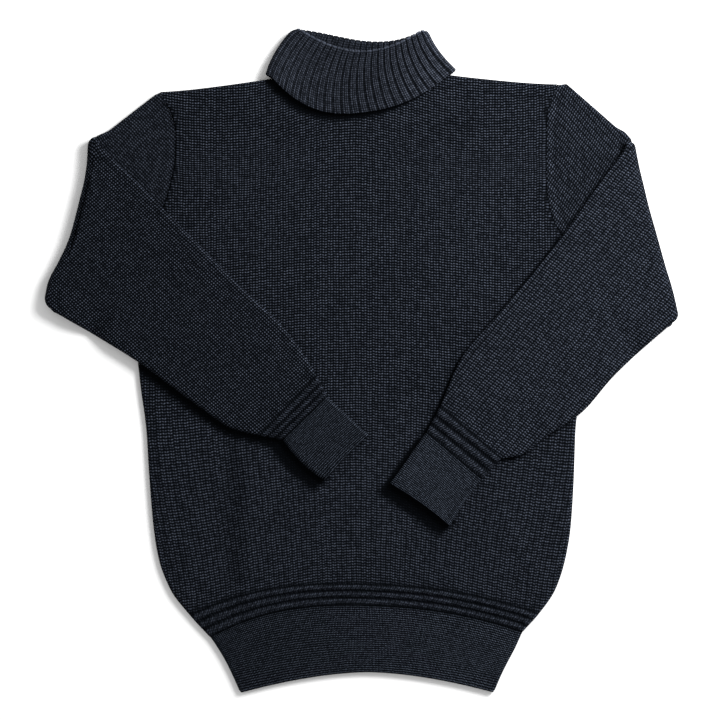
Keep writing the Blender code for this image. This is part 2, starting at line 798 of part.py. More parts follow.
def collar(material):
    """The collar, with its ribs raised in the side of the strip that shows."""
    half_wall = COLLAR_WALL / 2.0
    fold_radius = (COLLAR_WALL + COLLAR_GAP) / 2.0
    centre = half_wall + fold_radius * 3.0
    columns = collar_columns()
    stations = collar_profile()
    middle = np.zeros((len(stations), len(columns), 3))
    ribs = np.zeros((len(stations), len(columns)))
    for row, (leg, share, angle) in enumerate(stations):
        half = fold_radius * (2.0 - math.cos(angle))
        for number, column in enumerate(columns):
            upward = (column.fold - column.hem) / np.linalg.norm(column.fold - column.hem)
            if leg == 0:
                xy = column.foot + (column.fold - column.foot) * share
            else:
                xy = column.fold + (column.hem - column.fold) * share
            xy = xy + upward * fold_radius * math.sin(angle)
            xy = xy + np.array((COLLAR_LEAN * 4.0 * share * (1.0 - share), 0.0))
            sine = math.sin(math.radians(column.turn))
            sideways = column.side * half * math.cos(math.radians(column.turn))
            facing = (1.0 + sine) / 2.0
            edge_lift = COLLAR_EDGE_LIFT * smooth_step(share) * facing if leg == 1 else 0.0
            middle[row, number] = (
                xy[0] + upward[1] * sideways,
                xy[1] - upward[0] * sideways,
                centre + half * sine + edge_lift,
            )
            if leg == 1 or angle > math.radians(TURNED_OVER):
                shown = facing
            else:
                shown = FOLD_RIB_SHARE * math.sin(angle)
            ribs[row, number] = RIB_HEIGHT * column.crest * shown
    down = np.gradient(middle, axis=0)
    around = np.roll(middle, -1, axis=1) - np.roll(middle, 1, axis=1)
    normal = np.cross(around, down)
    normal /= np.linalg.norm(normal, axis=2, keepdims=True)
    if normal[-1, RIBS_ACROSS][2] < 0:
        normal = -normal
    outer = middle + normal * (half_wall + ribs)[:, :, None]
    inner = middle - normal * half_wall
    outer[:, :, 2] = np.maximum(outer[:, :, 2], 0.0)
    return wall_object(
        "collar",
        material,
        [tuple(point) for point in outer.reshape(-1, 3)],
        [tuple(point) for point in inner.reshape(-1, 3)],
        grid_triangles(len(stations), len(columns), True),
    )


def main():
    for old in list(bpy.data.objects):
        bpy.data.objects.remove(old, do_unlink=True)
    knit = knit_material("half_cardigan_knit", BODY_YARN)
    band = knit_material("fine_band_knit", BAND_YARN)
    rib = knit_material("wide_collar_rib", COLLAR_YARN)
    left = SleeveLay("left", LEFT_FOLD, LEFT_FOREARM, LEFT_ARM_BOW)
    right = SleeveLay("right", RIGHT_FOLD, RIGHT_FOREARM, RIGHT_ARM_BOW)
    back_panel(knit)
    front_panel(knit)
    hem_band(band)
    sleeve("sleeve_left", knit, left)
    sleeve("sleeve_right", knit, right)
    cuff("cuff_left", band, left, LEFT_CUFF)
    cuff("cuff_right", band, right, RIGHT_CUFF)
    collar(rib)


main()
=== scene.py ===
from math import ceil, cos, hypot, pi, radians, sin

import bpy
import numpy as np
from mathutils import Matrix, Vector


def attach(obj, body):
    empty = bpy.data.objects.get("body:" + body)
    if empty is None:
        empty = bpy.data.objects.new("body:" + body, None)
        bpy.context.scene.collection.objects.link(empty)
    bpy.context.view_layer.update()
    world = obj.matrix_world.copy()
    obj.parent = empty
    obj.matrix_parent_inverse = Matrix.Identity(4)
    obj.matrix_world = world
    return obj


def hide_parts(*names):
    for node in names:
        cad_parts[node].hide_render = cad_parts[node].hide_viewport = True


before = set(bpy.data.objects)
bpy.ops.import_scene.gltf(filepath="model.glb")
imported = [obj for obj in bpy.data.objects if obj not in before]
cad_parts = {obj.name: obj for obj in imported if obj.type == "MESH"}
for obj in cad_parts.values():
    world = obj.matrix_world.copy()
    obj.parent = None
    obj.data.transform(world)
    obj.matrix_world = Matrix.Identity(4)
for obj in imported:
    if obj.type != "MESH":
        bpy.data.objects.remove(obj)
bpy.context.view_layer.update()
print("frame loaded:", ", ".join(sorted(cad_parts)))

mm = 0.001

# how the layers of knit lie on each other, in millimetres like every table below
wall = 3.8
seamGap = 0.4
tubeHalf = 4.05  # half the height of one flattened tube
stackTop = 8.1  # a whole flattened tube, and the top of the front panel
farOff = 1000.0
sampleCount = 161  # points along a smooth line
creaseEnd = (0.15, 4.0)  # a crease's share of its height at its ends, and how fast it rises

# three soft welts above the hem band and above each cuff
welts = {
    "count": 3, "pitch": 8.0, "height": 1.6, "groove": -1.4, "crestPower": 0.7,
    "reliefFades": (1.5, 3.0),  # below the first welt's top and at the last one's
    # painted light on the welts' crests and painted shade in the grooves between them and beside
    # them
    "lit": 0.74, "litSpread": 1.5, "dark": 0.08, "darkFades": (1.5, 2.5),
    "slant": 0.22,  # how far, in wales, the stitches lean across a welt
    "rows": 0.7,
}
weltTop = welts["count"] * welts["pitch"]


def smooth(value):
    value = np.clip(value, 0.0, 1.0)
    return value * value * (3.0 - 2.0 * value)


def mixed(first, second, share):
    return first + (second - first) * share


def ramp(value, start, end):  # rises from 0 at the start to 1 at the end
    return smooth((value - start) / (end - start))


def bell(distance, width):
    return np.exp(-((distance / width) ** 2))


def unit(vector):
    return vector / np.linalg.norm(vector, axis=-1, keepdims=True)


# y along a row: bowed up by its rise in the middle, and skewed between its middle and its ends
def bowed(firstY, lastY, share, rise, bow, skew):
    side = np.clip(2.0 * share - 1.0, -1.0, 1.0)
    y = mixed(firstY, lastY, share) + rise * (1.0 - np.abs(side) ** bow)
    return y + skew * side * (1.0 - side * side)


def grid(columns, rows):
    return np.stack(np.broadcast_arrays(columns, rows), axis=-1)


def joined(*parts):
    return np.concatenate(parts, axis=1)


def withHeight(xy, z):
    return np.concatenate([xy, z[..., None]], axis=-1)


def runLengths(line):
    return np.append(0.0, np.cumsum(np.linalg.norm(np.diff(line, axis=0), axis=1)))


def distanceTo(line, xy):
    near = np.full(xy.shape[:-1], farOff)
    for place in line:
        near = np.minimum(near, np.linalg.norm(xy - place, axis=-1))
    return near


# a smooth curve through table rows that never overshoots them
def curveThrough(stations, values, at):
    stations = np.asarray(stations, float)
    values = np.asarray(values, float)
    at = np.asarray(at, float)
    steps = np.diff(stations)
    slopes = np.diff(values, axis=0) / steps[:, None]
    before, after = slopes[:-1], slopes[1:]
    product = before * after
    safe = np.where(product > 0, before + after, 1.0)
    inner = np.where(product > 0, 2 * product / safe, 0.0)
    tangents = np.concatenate([slopes[:1], inner, slopes[-1:]])
    span = np.clip(np.searchsorted(stations, at) - 1, 0, len(steps) - 1)
    step = steps[span]
    t = np.clip((at - stations[span]) / step, 0.0, 1.0)[..., None]
    step = step[..., None]
    return (
        values[span] * (2 * t**3 - 3 * t**2 + 1)
        + tangents[span] * step * (t**3 - 2 * t**2 + t)
        + values[span + 1] * (3 * t**2 - 2 * t**3)
        + tangents[span + 1] * step * (t**3 - t**2)
    )


# Where one layer lies on another, the knit beside it gets a painted shadow on the side away from
# the light.
# Each line in covers has its own outside on the right hand of its run, the reach of its shade
# at both ends, and the share of that reach that is fully dark.
shadeCut = {
    "away": (-0.79, -0.61),  # the way the key light falls across the floor
    "depth": 0.96,
    "least": 0.05,  # how far a line has to face away from the light to throw a shade
    # close: a narrow painted shade right beside each line; rim: painted light and painted shade
    # along edges
    "corner": 4.0, "inside": 8.0, "closeReach": 3.5, "closeDepth": 0.38,
    "closeSpare": 0.35, "closeLeast": 0.02, "rimLight": 0.75, "rimShade": 0.3,
    "rimWidth": 5.0,
}


def shadeBeside(x, y):
    dark = np.zeros(np.shape(x))
    awayX, awayY = shadeCut["away"]
    for line, firstReach, lastReach, core in covers:
        reaches = np.linspace(firstReach, lastReach, len(line))
        for start, end, reach in zip(line[:-1], line[1:], reaches):
            runX, runY = end - start
            length = hypot(runX, runY)
            facing = (runY * awayX - runX * awayY) / length
            closeFacing = facing + shadeCut["closeSpare"]
            if closeFacing < shadeCut["closeLeast"]:
                continue
            fromX, fromY = x - start[0], y - start[1]
            share = np.clip((fromX * runX + fromY * runY) / length**2, 0.0, 1.0)
            near = np.hypot(fromX - share * runX, fromY - share * runY)
            close = shadeCut["closeDepth"] * min(closeFacing, 1.0)
            dark = np.maximum(dark, close * ramp(near, shadeCut["closeReach"], 0.0))
            if facing < shadeCut["least"]:
                continue
            cross = facing * length  # follow the light back from each point to the line
            back = (fromX * runY - fromY * runX) / cross
            at = (awayX * fromY - awayY * fromX) / cross
            over = np.maximum(np.maximum(-at, at - 1.0), 0.0) * length
            fade = ramp(back / reach, 1.0, core) * ramp(over, shadeCut["corner"], 0.0)
            dark = np.maximum(dark, shadeCut["depth"] * fade * (back > -shadeCut["inside"]))
    return 1.0 - dark


# painted light on edges that face the light, and painted shade on those that face away
def rimLight(outward, distance):
    toLight = -(outward @ np.array(shadeCut["away"]))
    lit = np.where(toLight > 0.0, shadeCut["rimLight"], shadeCut["rimShade"]) * toLight
    return 1.0 + lit * ramp(distance, shadeCut["rimWidth"], 0.0)


# soft creases: x and y of both ends, half the width, and the height in the middle
def creaseRelief(x, y, rows):
    relief = np.zeros(np.shape(x))
    for startX, startY, endX, endY, width, height in rows:
        runX, runY = endX - startX, endY - startY
        share = ((x - startX) * runX + (y - startY) * runY) / (runX**2 + runY**2)
        share = np.clip(share, 0.0, 1.0)
        distance = np.hypot(x - startX - share * runX, y - startY - share * runY)
        fade = smooth(share * creaseEnd[1]) * smooth((1.0 - share) * creaseEnd[1])
        relief = relief + height * bell(distance, width) * mixed(creaseEnd[0], 1.0, fade)
    return relief


def addObject(name, data):
    made = bpy.data.objects.new(name, data)
    bpy.context.scene.collection.objects.link(made)
    return made


# points in a grid, patches of faces between them, and a knit map that counts wales across
# and courses along
class KnitMesh:
    def __init__(self):
        self.points, self.finishes, self.corners, self.maps = [], [], [], []
        self.count = 0

    # gives back the grid of the points' numbers. light is painted light and shade that brightens or
    # darkens the knit, legs and rows deepen the painted shade in the gaps between the legs of the
    # Vs and between the courses, and middle fills the gap in the middle of each V
    def addPoints(self, points, light=1.0, legs=1.0, rows=1.0, middle=0.06):
        shape = points.shape[:2]
        numbers = np.arange(shape[0] * shape[1]).reshape(shape) + self.count
        finish = [np.broadcast_to(part, shape) for part in (light, legs, rows, middle)]
        self.points.append(points.reshape(-1, 3))
        self.finishes.append(np.stack(finish, axis=-1).reshape(-1, 4))
        self.count += numbers.size
        return numbers

    def addPatch(self, numbers, knit, flip=False):
        def quads(grid):
            corners = [grid[:-1, :-1], grid[:-1, 1:], grid[1:, 1:], grid[1:, :-1]]
            return [part.reshape(-1, *grid.shape[2:]) for part in corners[:: -1 if flip else 1]]

        spots, maps = quads(numbers), quads(knit)
        for picked in ((0, 1, 2), (0, 2, 3)):
            faces = np.stack([spots[place] for place in picked], axis=1)
            shown = np.stack([maps[place] for place in picked], axis=1)
            whole = (faces != np.roll(faces, 1, axis=1)).all(axis=1)
            self.corners.append(faces[whole])
            self.maps.append(shown[whole])

    def build(self, name, material):
        used, corners = np.unique(np.concatenate(self.corners), return_inverse=True)
        corners = corners.reshape(-1, 3)
        points = np.concatenate(self.points)[used] * mm
        mesh = bpy.data.meshes.new(name)
        mesh.from_pydata(points.tolist(), [], corners.tolist())
        mesh.shade_smooth()
        knitMap = mesh.uv_layers.new(name="knit")
        knitMap.data.foreach_set("uv", np.concatenate(self.maps).astype(np.float32).ravel())
        # the finish attribute carries each point's painted light and shade, and how deep the
        # painted shade in its gaps is
        finish = mesh.attributes.new("finish", "FLOAT_COLOR", "POINT")
        finishes = np.concatenate(self.finishes)[used]
        finish.data.foreach_set("color", finishes.astype(np.float32).ravel())
        mesh.materials.append(material)
        print(f"{name}: {len(corners)} triangles")
        return addObject(name, mesh)


# Shaders


class Value:  # a socket that can be used in Python sums
    def __init__(self, shader, socket):
        self.shader = shader
        self.socket = socket

    def maths(self, operation, *others):
        sockets = dict(enumerate((self, *others)))
        return self.shader.add("ShaderNodeMath", {"operation": operation}, sockets)

    def __add__(self, other):
        return self.maths("ADD", other)

    def __sub__(self, other):
        return self.maths("SUBTRACT", other)

    def __rsub__(self, other):
        sockets = {0: other, 1: self}
        return self.shader.add("ShaderNodeMath", {"operation": "SUBTRACT"}, sockets)

    def __mul__(self, other):
        return self.maths("MULTIPLY", other)

    def __pow__(self, other):
        return self.maths("POWER", other)

    def __abs__(self):
        return self.maths("ABSOLUTE")

    __radd__ = __add__

    def part(self):
        return self.maths("FRACT")

    def whole(self):
        return self.maths("FLOOR")

    def wave(self):  # a lobe that rises from 0 to 1 and falls back over one unit
        return (self * pi).maths("SINE")

    def output(self, place):  # another output of the same node
        return Value(self.shader, self.socket.node.outputs[place])


class ClothShader:
    def __init__(self, name):
        self.material = bpy.data.materials.new(name)
        self.material.use_nodes = True
        self.tree = self.material.node_tree

    def fill(self, node, sockets):
        for key, value in sockets.items():
            if isinstance(value, Value):
                self.tree.links.new(value.socket, node.inputs[key])
            else:
                node.inputs[key].default_value = value

    def add(self, kind, settings, sockets, output=0):
        node = self.tree.nodes.new(kind)
        for key, value in settings.items():
            setattr(node, key, value)
        self.fill(node, sockets)
        return Value(self, node.outputs[output])

    def finish(self, sockets):
        self.fill(self.tree.nodes["Principled BSDF"], sockets)
        return self.material


def knitShader(name, look):
    shader = ClothShader(name)
    knitMap = shader.add("ShaderNodeUVMap", {"uv_map": "knit"}, {})
    wale = shader.add("ShaderNodeSeparateXYZ", {}, {0: knitMap})
    course = wale.output(1)
    # the finish attribute brings each point's painted light and shade, and how deep the painted
    # shade in its gaps is
    finish = shader.add("ShaderNodeAttribute", {"attribute_name": "finish"}, {}, "Color")
    middle = finish.output("Alpha")
    light = shader.add("ShaderNodeSeparateXYZ", {}, {0: finish})
    legs = light.output(1) * look["legGap"]
    rows = light.output(2) * look["rowGap"]
    place = shader.add("ShaderNodeTexCoord", {}, {}, "Object")

    def cloud(name, seed, detail=1.0):  # soft noise about 0, in each of its amounts
        *amounts, size = look[name]
        sockets = {"Vector": place, "W": seed, "Scale": 1.0 / size, "Detail": detail}
        settings = {"noise_dimensions": "4D"}
        noise = shader.add("ShaderNodeTexNoise", settings, sockets, "Fac") - 0.5
        return [noise * amount for amount in amounts]

    def chanceAt(dimensions, sockets):
        settings = {"noise_dimensions": dimensions}
        return shader.add("ShaderNodeTexWhiteNoise", settings, sockets, "Value")

    wander, slip = cloud("wander", 1.0)[0], cloud("slip", 2.0)[0]
    unevenWale, unevenCourse = cloud("uneven", 3.0)
    w = wale + wander + unevenWale
    c = course + slip + unevenCourse

    # each wale is a column of Vs: two legs that lean away from its middle line, and every
    # column of legs stands a little higher or lower than the next one
    fromMiddle = abs(w.part() - 0.5) * 2.0
    column = (w * 2.0).whole()
    step = chanceAt("1D", {"W": column}) * look["stagger"]
    leaned = c - fromMiddle * look["lean"] + step
    leg = (fromMiddle * (1.0 - middle) + middle).wave()
    across = (leg ** look["legPinch"]) * legs + (1.0 - legs)
    along = (leaned.part().wave() ** look["rowPinch"]) * rows + (1.0 - rows)
    # stitch falls from 1 on the legs to 0 in the gaps, where the colour takes painted shade
    stitch = across * along

    # every stitch catches the light a little differently
    spot = shader.add("ShaderNodeCombineXYZ", {}, {0: column, 1: leaned.whole(), 2: 0.5})
    chance = chanceAt("2D", {"Vector": spot})
    fibre, fibreRelief = cloud("fibre", 4.0, 2.0)
    height = stitch + chance * look["stitchRelief"] + fibreRelief
    bump = {"Strength": look["bump"], "Distance": look["depth"] * mm, "Height": height}
    spread = (chance - 0.5) * look["stitchSpread"]
    shine = 1.0 + spread + fibre + cloud("patch", 5.0, 2.0)[0]
    # painted light and shade, with the painted shade in the gaps, carry the colour between the
    # shaded and the lit colour
    bright = stitch * shine * light * look["bright"]
    settings = {"data_type": "RGBA", "clamp_factor": False}
    colours = {0: bright, 6: (*look["shadeColour"], 1.0), 7: (*look["topColour"], 1.0)}
    surface = {
        "Base Color": shader.add("ShaderNodeMix", settings, colours, 2),
        "Normal": shader.add("ShaderNodeBump", {}, bump),
        "Roughness": look["rough"],
        "Specular IOR Level": look["gloss"],
    }
    return shader.finish(surface)


bodyLook = {
    "topColour": (0.095, 0.112, 0.153), "shadeColour": (0.0008, 0.0011, 0.0016),
    "bright": 0.75,
    "legPinch": 5.0,  # how narrow the light part of a leg is, across and along
    "rowPinch": 5.4, "lean": 0.18, "stagger": 0.3,
    "legGap": 0.92,  # how dark the painted shade is in the gaps between legs and between courses
    "rowGap": 1.0,
    "wander": (0.35, 0.022),  # soft noises: their amounts, and their size in metres
    "slip": (0.5, 0.026), "uneven": (0.2, 0.3, 0.0045),
    "fibre": (0.9, 0.2, 0.0006),  # in the colour and in the bump
    "patch": (0.25, 0.05), "stitchSpread": 1.0, "stitchRelief": 0.25, "bump": 0.9,
    "depth": 0.9, "rough": 0.85, "gloss": 0.01,
}
bandLook = dict(bodyLook, topColour=(0.103, 0.124, 0.168), lean=0.3, stagger=0.15, depth=0.5)
collarLook = dict(
    bodyLook, topColour=(0.056, 0.065, 0.088), legPinch=2.6, rowPinch=2.6, rowGap=0.8, depth=0.7
)

bodyKnit = knitShader("half_cardigan_knit", bodyLook)
bandKnit = knitShader("fine_band_knit", bandLook)
collarKnit = knitShader("wide_collar_rib", collarLook)
print("materials made")


# Front and back panels

panels = {
    # middleY, leftX, leftY, rightX, rightY, skew: from the hem seam up to the underarm
    "bodyRows": (
        (-281, -174, -318, 186, -312, -8), (-257, -197, -293, 205, -291, -7),
        (-229, -219, -264, 224, -263, -5), (-195, -233, -227, 235.5, -227, -3),
        (-160, -239, -189, 241.5, -190, -1), (-114, -243.5, -135, 245, -135, 0),
        (-68, -247, -80, 247, -80, 0), (-22, -254, -27, 253, -27, 0), (35, -260, 34, 259, 34, 0),
        (93, -264, 94, 262, 93, 0), (118, -264, 120, 262, 108, 0),
    ),
    "rowBow": 2.4,
    # leftX, leftY, rightX, rightY, share of the neckline's dip: up the armholes
    "armholeRows": (
        (-243, 145, 235, 139, 0.0), (-229, 173, 220, 166, 0.0), (-220, 201, 214, 196, 0.0),
        (-214, 231, 213, 227, 0.15), (-213, 258, 213, 259, 0.45), (-217, 280, 215, 286, 0.75),
        (-225, 296, 220, 303, 1.0),
    ),
    "shoulderTip": (-231, 309, 226, 318, 1.0), "backNeckShare": 0.9, "stepsPerRow": 6,
    "neck": (0.315, 0.699),  # shares of the width where the neckline starts and ends
    "neckTuck": 6.0,  # how far the shoulders run on under the collar
    "neckBow": 2.2, "shoulderBend": 1.4, "shoulderEase": 0.21,
    "shoulderUnder": (1.6, 3.74),  # how far it runs in under itself, laid and unrolled
    "shoulderRoll": 13,
    "shoulderSteps": (0.2, 0.4, 0.6, 0.8, 0.9, 1.0),  # from the roll to the front's seam
    "shoulderDip": (0.4, 0.7, 1.0),  # its depth at the seam, and where it starts and ends
    "frontTop": (12, -5),  # rise at the neck's corners and at its middle
    "backTop": (14.5, -10), "neckLift": 3.6, "liftCentre": (-1, 346),
    "liftReach": (115, 58), "liftRange": (1.9, 1.3),
    "waleWidths": (5.45, 6.4),  # one wale of Vs just above the hem, and at the chest
    "waleLevels": (-300.0, -40.0), "halfWidth": 268.0, "edgeMargin": 0.7, "course": 3.1,
    "linesPerWale": 4, "rib": 0.35, "ribFoot": 0.12, "ribLevel": 0.8,
    "edgeFades": (6.0, 12.0, 4.0),  # of the ribs, the creases and the welts
    "rowStep": 5.0,
    "light": (0.725, 0.86),  # low and high on the body
    "legs": (0.9, 0.97), "rows": (0.97, 1.0), "middle": (0.14, 0.06),
    "lowLevel": (-130.0, -10.0),
    "selvedge": (10.5, 1.6),  # its distance from the edge and its width
    "selvedgeDark": (0.4, 0.15),  # at the left and at the right
    "seamDip": 0.3, "seamDark": 0.6, "seamFade": 8.0,
    "seamLines": ((4.6, 0.4), (10.4, 0.3)),  # dark lines beside the armholes: distance and depth
    "seamLineWidth": 1.2, "shoulderDark": 0.06, "seamWidth": 1.9,
    "troughShade": 0.12,  # painted shade in a crease's trough, for each millimetre of its depth
    # level, and there the wide and the narrow arch of the rows of knit and their rise at the sides
    "arches": (
        (-281, 51, 0, 0.0), (-195, 45, 0, 0.0), (-103, 35, 0, 0.0), (-11, 21, 0, 0.0),
        (58, 18, 0, 0.0), (127, 20, 0, 0.0), (173, 15, 7, 3.0), (219, 5, 17, 8.0),
        (265, 0, 30, 9.5),
    ),
    "archMiddle": -10.0, "archHalf": 218.0, "archWidths": (0.75, 0.42),
    # startX, startY, endX, endY, half width, height
    "frontCreases": (
        (-149, -84, -148, -290, 10.0, -2.4), (-130, -100, -131, -282, 7.0, 1.6),
        (-60, 250, -150, 120, 22.0, 1.2), (40, 60, 120, 190, 26.0, 1.1),
        (-30, -150, 60, -240, 20.0, 1.0), (160, -170, 205, -262, 10.0, 1.5),
        (-206, -190, -190, -262, 8.0, 1.4), (60, 262, 150, 276, 14.0, -1.0),
    ),
    "backCreases": (
        (-90, -80, -120, -250, 9.0, 1.0), (80, -40, 150, -210, 14.0, 0.9),
        (-40, 210, 90, 120, 20.0, 1.0),
    ),
}
edgeAngles = np.radians((0.0, 20.0, 40.0, 60.0, 75.0, 90.0))


def topRise(top, fraction):
    left, right = panels["neck"]
    corner, middle = top
    side = np.abs(2.0 * fraction - left - right) / (right - left)
    inside = middle + (corner - middle) * side ** panels["neckBow"]
    slope = np.clip(np.minimum(fraction / left, (1.0 - fraction) / (1.0 - right)), 0.0, 1.0)
    slope = corner * slope ** panels["shoulderBend"]
    return np.where((fraction < left) | (fraction > right), slope, inside)


def neckLift(x, y):
    centreX, centreY = panels["liftCentre"]
    reachX, reachY = panels["liftReach"]
    apart = np.hypot((x - centreX) / reachX, (y - centreY) / reachY)
    return panels["neckLift"] * ramp(apart, *panels["liftRange"])


# y along rows of a panel. A row holds both ends, the rise of its middle, its skew, its shares
# of the back's and of the front's top edge, and its level at the panel's middle
def rowHeight(rows, x):
    leftX, leftY, rightX, rightY, rise, skew, backShare, frontShare, _ = rows.T[:, :, None]
    fraction = (x - leftX) / (rightX - leftX)
    y = bowed(leftY, rightY, fraction, rise, panels["rowBow"], skew)
    fraction = np.clip(fraction, 0.0, 1.0)
    y = y + backShare * topRise(panels["backTop"], fraction)
    return y + frontShare * topRise(panels["frontTop"], fraction)


def panelRows(front):
    table = np.array(panels["bodyRows"], float)
    low, high = table[[0, -1], 0]
    plainLow = low + weltTop if front else low
    plain = np.linspace(plainLow, high, int((high - plainLow) / panels["rowStep"]))
    levels = np.append(np.arange(low, plainLow, 1.0), plain)
    leftX, leftY, rightX, rightY, skew = curveThrough(table[:, 0], table[:, 1:], levels).T
    rise = levels - (leftY + rightY) / 2.0
    none = 0.0 * levels
    body = np.stack([leftX, leftY, rightX, rightY, rise, skew, none, none, levels], axis=1)

    upper = [(*panels["bodyRows"][-1][1:5], 0.0), *panels["armholeRows"]]
    if not front:
        upper.append(panels["shoulderTip"])
    ends = np.append(np.array(upper, float), np.zeros((len(upper), 1)), axis=1)
    ends[:, 4] *= panels["backNeckShare"]
    ends[-1, 4:] = (0.0, 1.0) if front else (1.0, 0.0)
    spans = len(ends) - 1
    at = np.linspace(0.0, spans, panels["stepsPerRow"] * spans + 1)[1:]
    leftX, leftY, rightX, rightY, *shares = curveThrough(np.arange(spans + 1), ends, at).T
    gap = seamGap * np.minimum(at, 1.0)
    rise = (high - (ends[0, 1] + ends[0, 3]) / 2.0) * (1.0 - smooth(at))
    levels = (leftY + rightY) / 2.0 + rise
    top = [leftX + gap, leftY, rightX - gap, rightY, rise, 0.0 * at, *shares, levels]
    return np.concatenate([body, np.stack(top, axis=1)])


def weltWave(distance):  # 1 on a welt's crest and 0 in the grooves beside it
    return 0.5 - 0.5 * np.cos(2.0 * pi * distance / welts["pitch"])


def weltRelief(distance):
    full = mixed(welts["groove"], welts["height"], weltWave(distance) ** welts["crestPower"])
    low, high = welts["reliefFades"]
    return full * ramp(distance, 0.0, low) * ramp(distance, weltTop, weltTop - high)


# painted light and shade of the welts: lighter crests, and painted shade in the grooves and just
# beyond the welts
def weltLight(distance):
    low, high = welts["darkFades"]
    inside = mixed(welts["dark"], welts["lit"], smooth(weltWave(distance) * welts["litSpread"]))
    away = np.maximum(ramp(distance, weltTop, weltTop + high), ramp(distance, 0.0, -low))
    beyond = mixed(welts["dark"], 1.0, away)
    return np.where((distance < 0.0) | (distance > weltTop), beyond, inside)


def weltShare(distance):  # 1 within the welts and 0 away from them
    return ramp(distance, -1.0, 1.0) * ramp(distance, weltTop + 1.0, weltTop - 1.0)


def weltSlant(distance):
    return welts["slant"] * np.sin(2.0 * pi * distance / welts["pitch"]) * weltShare(distance)


# the level that a row of knit has in the middle of the panel, from any place along it
def knitLevel(x, y):
    levels, wide, narrow, rise = np.array(panels["arches"], float).T
    side = (x - panels["archMiddle"]) / panels["archHalf"]
    wideDrop, narrowDrop = (1.0 - bell(side, width) for width in panels["archWidths"])
    level = y
    for _ in range(4):  # it settles in a few rounds
        drop = np.interp(level, levels, wide) * wideDrop
        drop = drop + np.interp(level, levels, narrow) * narrowDrop
        level = y + drop - np.interp(level, levels, rise) * side**4
    return level


def panelMesh(front):
    rows = panelRows(front)
    lefts, rights, levels = rows[:, [0]], rows[:, [2]], rows[:, [8]]
    pitches = mixed(*panels["waleWidths"], ramp(levels, *panels["waleLevels"]))
    lines = panels["linesPerWale"]
    reach = ceil(panels["halfWidth"] / panels["waleWidths"][0]) * lines
    wales = np.arange(-reach, reach + 1) / lines
    aboveHem = levels - levels[0]
    lean = weltSlant(aboveHem) if front else 0.0
    underarm = panels["bodyRows"][-1][0]
    seamed = ramp(levels, underarm, underarm + panels["seamFade"])  # 1 beside the armholes
    high = ramp(levels, *panels["lowLevel"])
    legs = mixed(*panels["legs"], high)
    midGap = mixed(*panels["middle"], high)
    ribFade, creaseFade, weltFade = panels["edgeFades"]

    def knitCount(x, y):
        return grid(x / pitches + lean, knitLevel(x, y) / panels["course"])

    def lightOf(x, y):
        fromLeft, fromRight = x - lefts, rights - x
        rim = rimLight(np.array((-1.0, 0.0)), fromLeft) * rimLight(np.array((1.0, 0.0)), fromRight)
        edge = np.minimum(fromLeft, fromRight)
        seam = 1.0 - panels["seamDark"] * bell(edge, panels["seamWidth"])
        for distance, dark in panels["seamLines"]:
            seam = seam * (1.0 - dark * bell(edge - distance, panels["seamLineWidth"]))
        light = mixed(*panels["light"], high) * mixed(rim, seam, seamed)
        place, width = panels["selvedge"]
        for distance, dark in zip((fromLeft, fromRight), panels["selvedgeDark"]):
            light = light * (1.0 - dark * bell(distance - place, width) * (1.0 - seamed))
        if front:
            light = light * weltLight(aboveHem) * shadeBeside(x, y)
        return light

    def levelled(x, y, rise):  # rise is outward: up on the front, down on the back
        z = neckLift(x, y) + (stackTop + rise if front else -rise)
        return np.stack([x, y, z], axis=2)

    # the two side edges turn down round the flattened body
    turn = np.where(levels < underarm, 1.0, panels["seamDip"])
    strips = []
    for ends, sign in ((lefts, 1.0), (rights, -1.0)):
        x = ends + sign * tubeHalf * (1.0 - np.sin(edgeAngles))
        y = rowHeight(rows, x)
        points = levelled(x, y, -tubeHalf * turn * (1.0 - np.cos(edgeAngles)))
        knitX = ends + sign * tubeHalf * (1.0 - turn * edgeAngles)
        strips.append((points, knitCount(knitX, y), lightOf(x, y)))

    innerLeft, innerRight = (points[:, :1, 0] for points, knit, light in strips)
    x = wales * pitches
    outs = (x < innerLeft + panels["edgeMargin"], x > innerRight - panels["edgeMargin"])
    x = np.clip(x, innerLeft, innerRight)
    y = rowHeight(rows, x)
    edge = np.minimum(x - innerLeft, innerRight - x)
    fromMiddle = np.abs(wales % 1.0 - 0.5) * 2.0
    ribs = np.sin(pi * mixed(panels["ribFoot"], 1.0, fromMiddle)) - panels["ribLevel"]
    creases = creaseRelief(x, y, panels["frontCreases" if front else "backCreases"])
    relief = panels["rib"] * ribs * smooth(edge / ribFade) + creases * smooth(edge / creaseFade)
    rowDepth = mixed(*panels["rows"], high)
    if front:
        relief = relief + weltRelief(aboveHem) * smooth(edge / weltFade)
        rowDepth = mixed(rowDepth, welts["rows"], weltShare(aboveHem))
    else:
        relief = -np.abs(relief)  # the underside presses its folds up from the floor
    light = lightOf(x, y) * (1.0 + panels["troughShade"] * np.minimum(creases, 0.0))
    mesh = KnitMesh()
    middle = mesh.addPoints(levelled(x, y, relief), light, legs, rowDepth, midGap)
    middleKnit = knitCount(x, y)
    for (points, knit, light), out, flip in zip(strips, outs, (front, not front)):
        numbers = mesh.addPoints(points, light, legs, rowDepth, midGap)
        mesh.addPatch(numbers, knit, flip)
        middle = np.where(out, numbers[:, :1], middle)
        middleKnit = np.where(out[:, :, None], knit[:, :1], middleKnit)
    mesh.addPatch(middle, middleKnit, not front)
    if not front:
        addShoulders(mesh, rows[-1:])
    return mesh


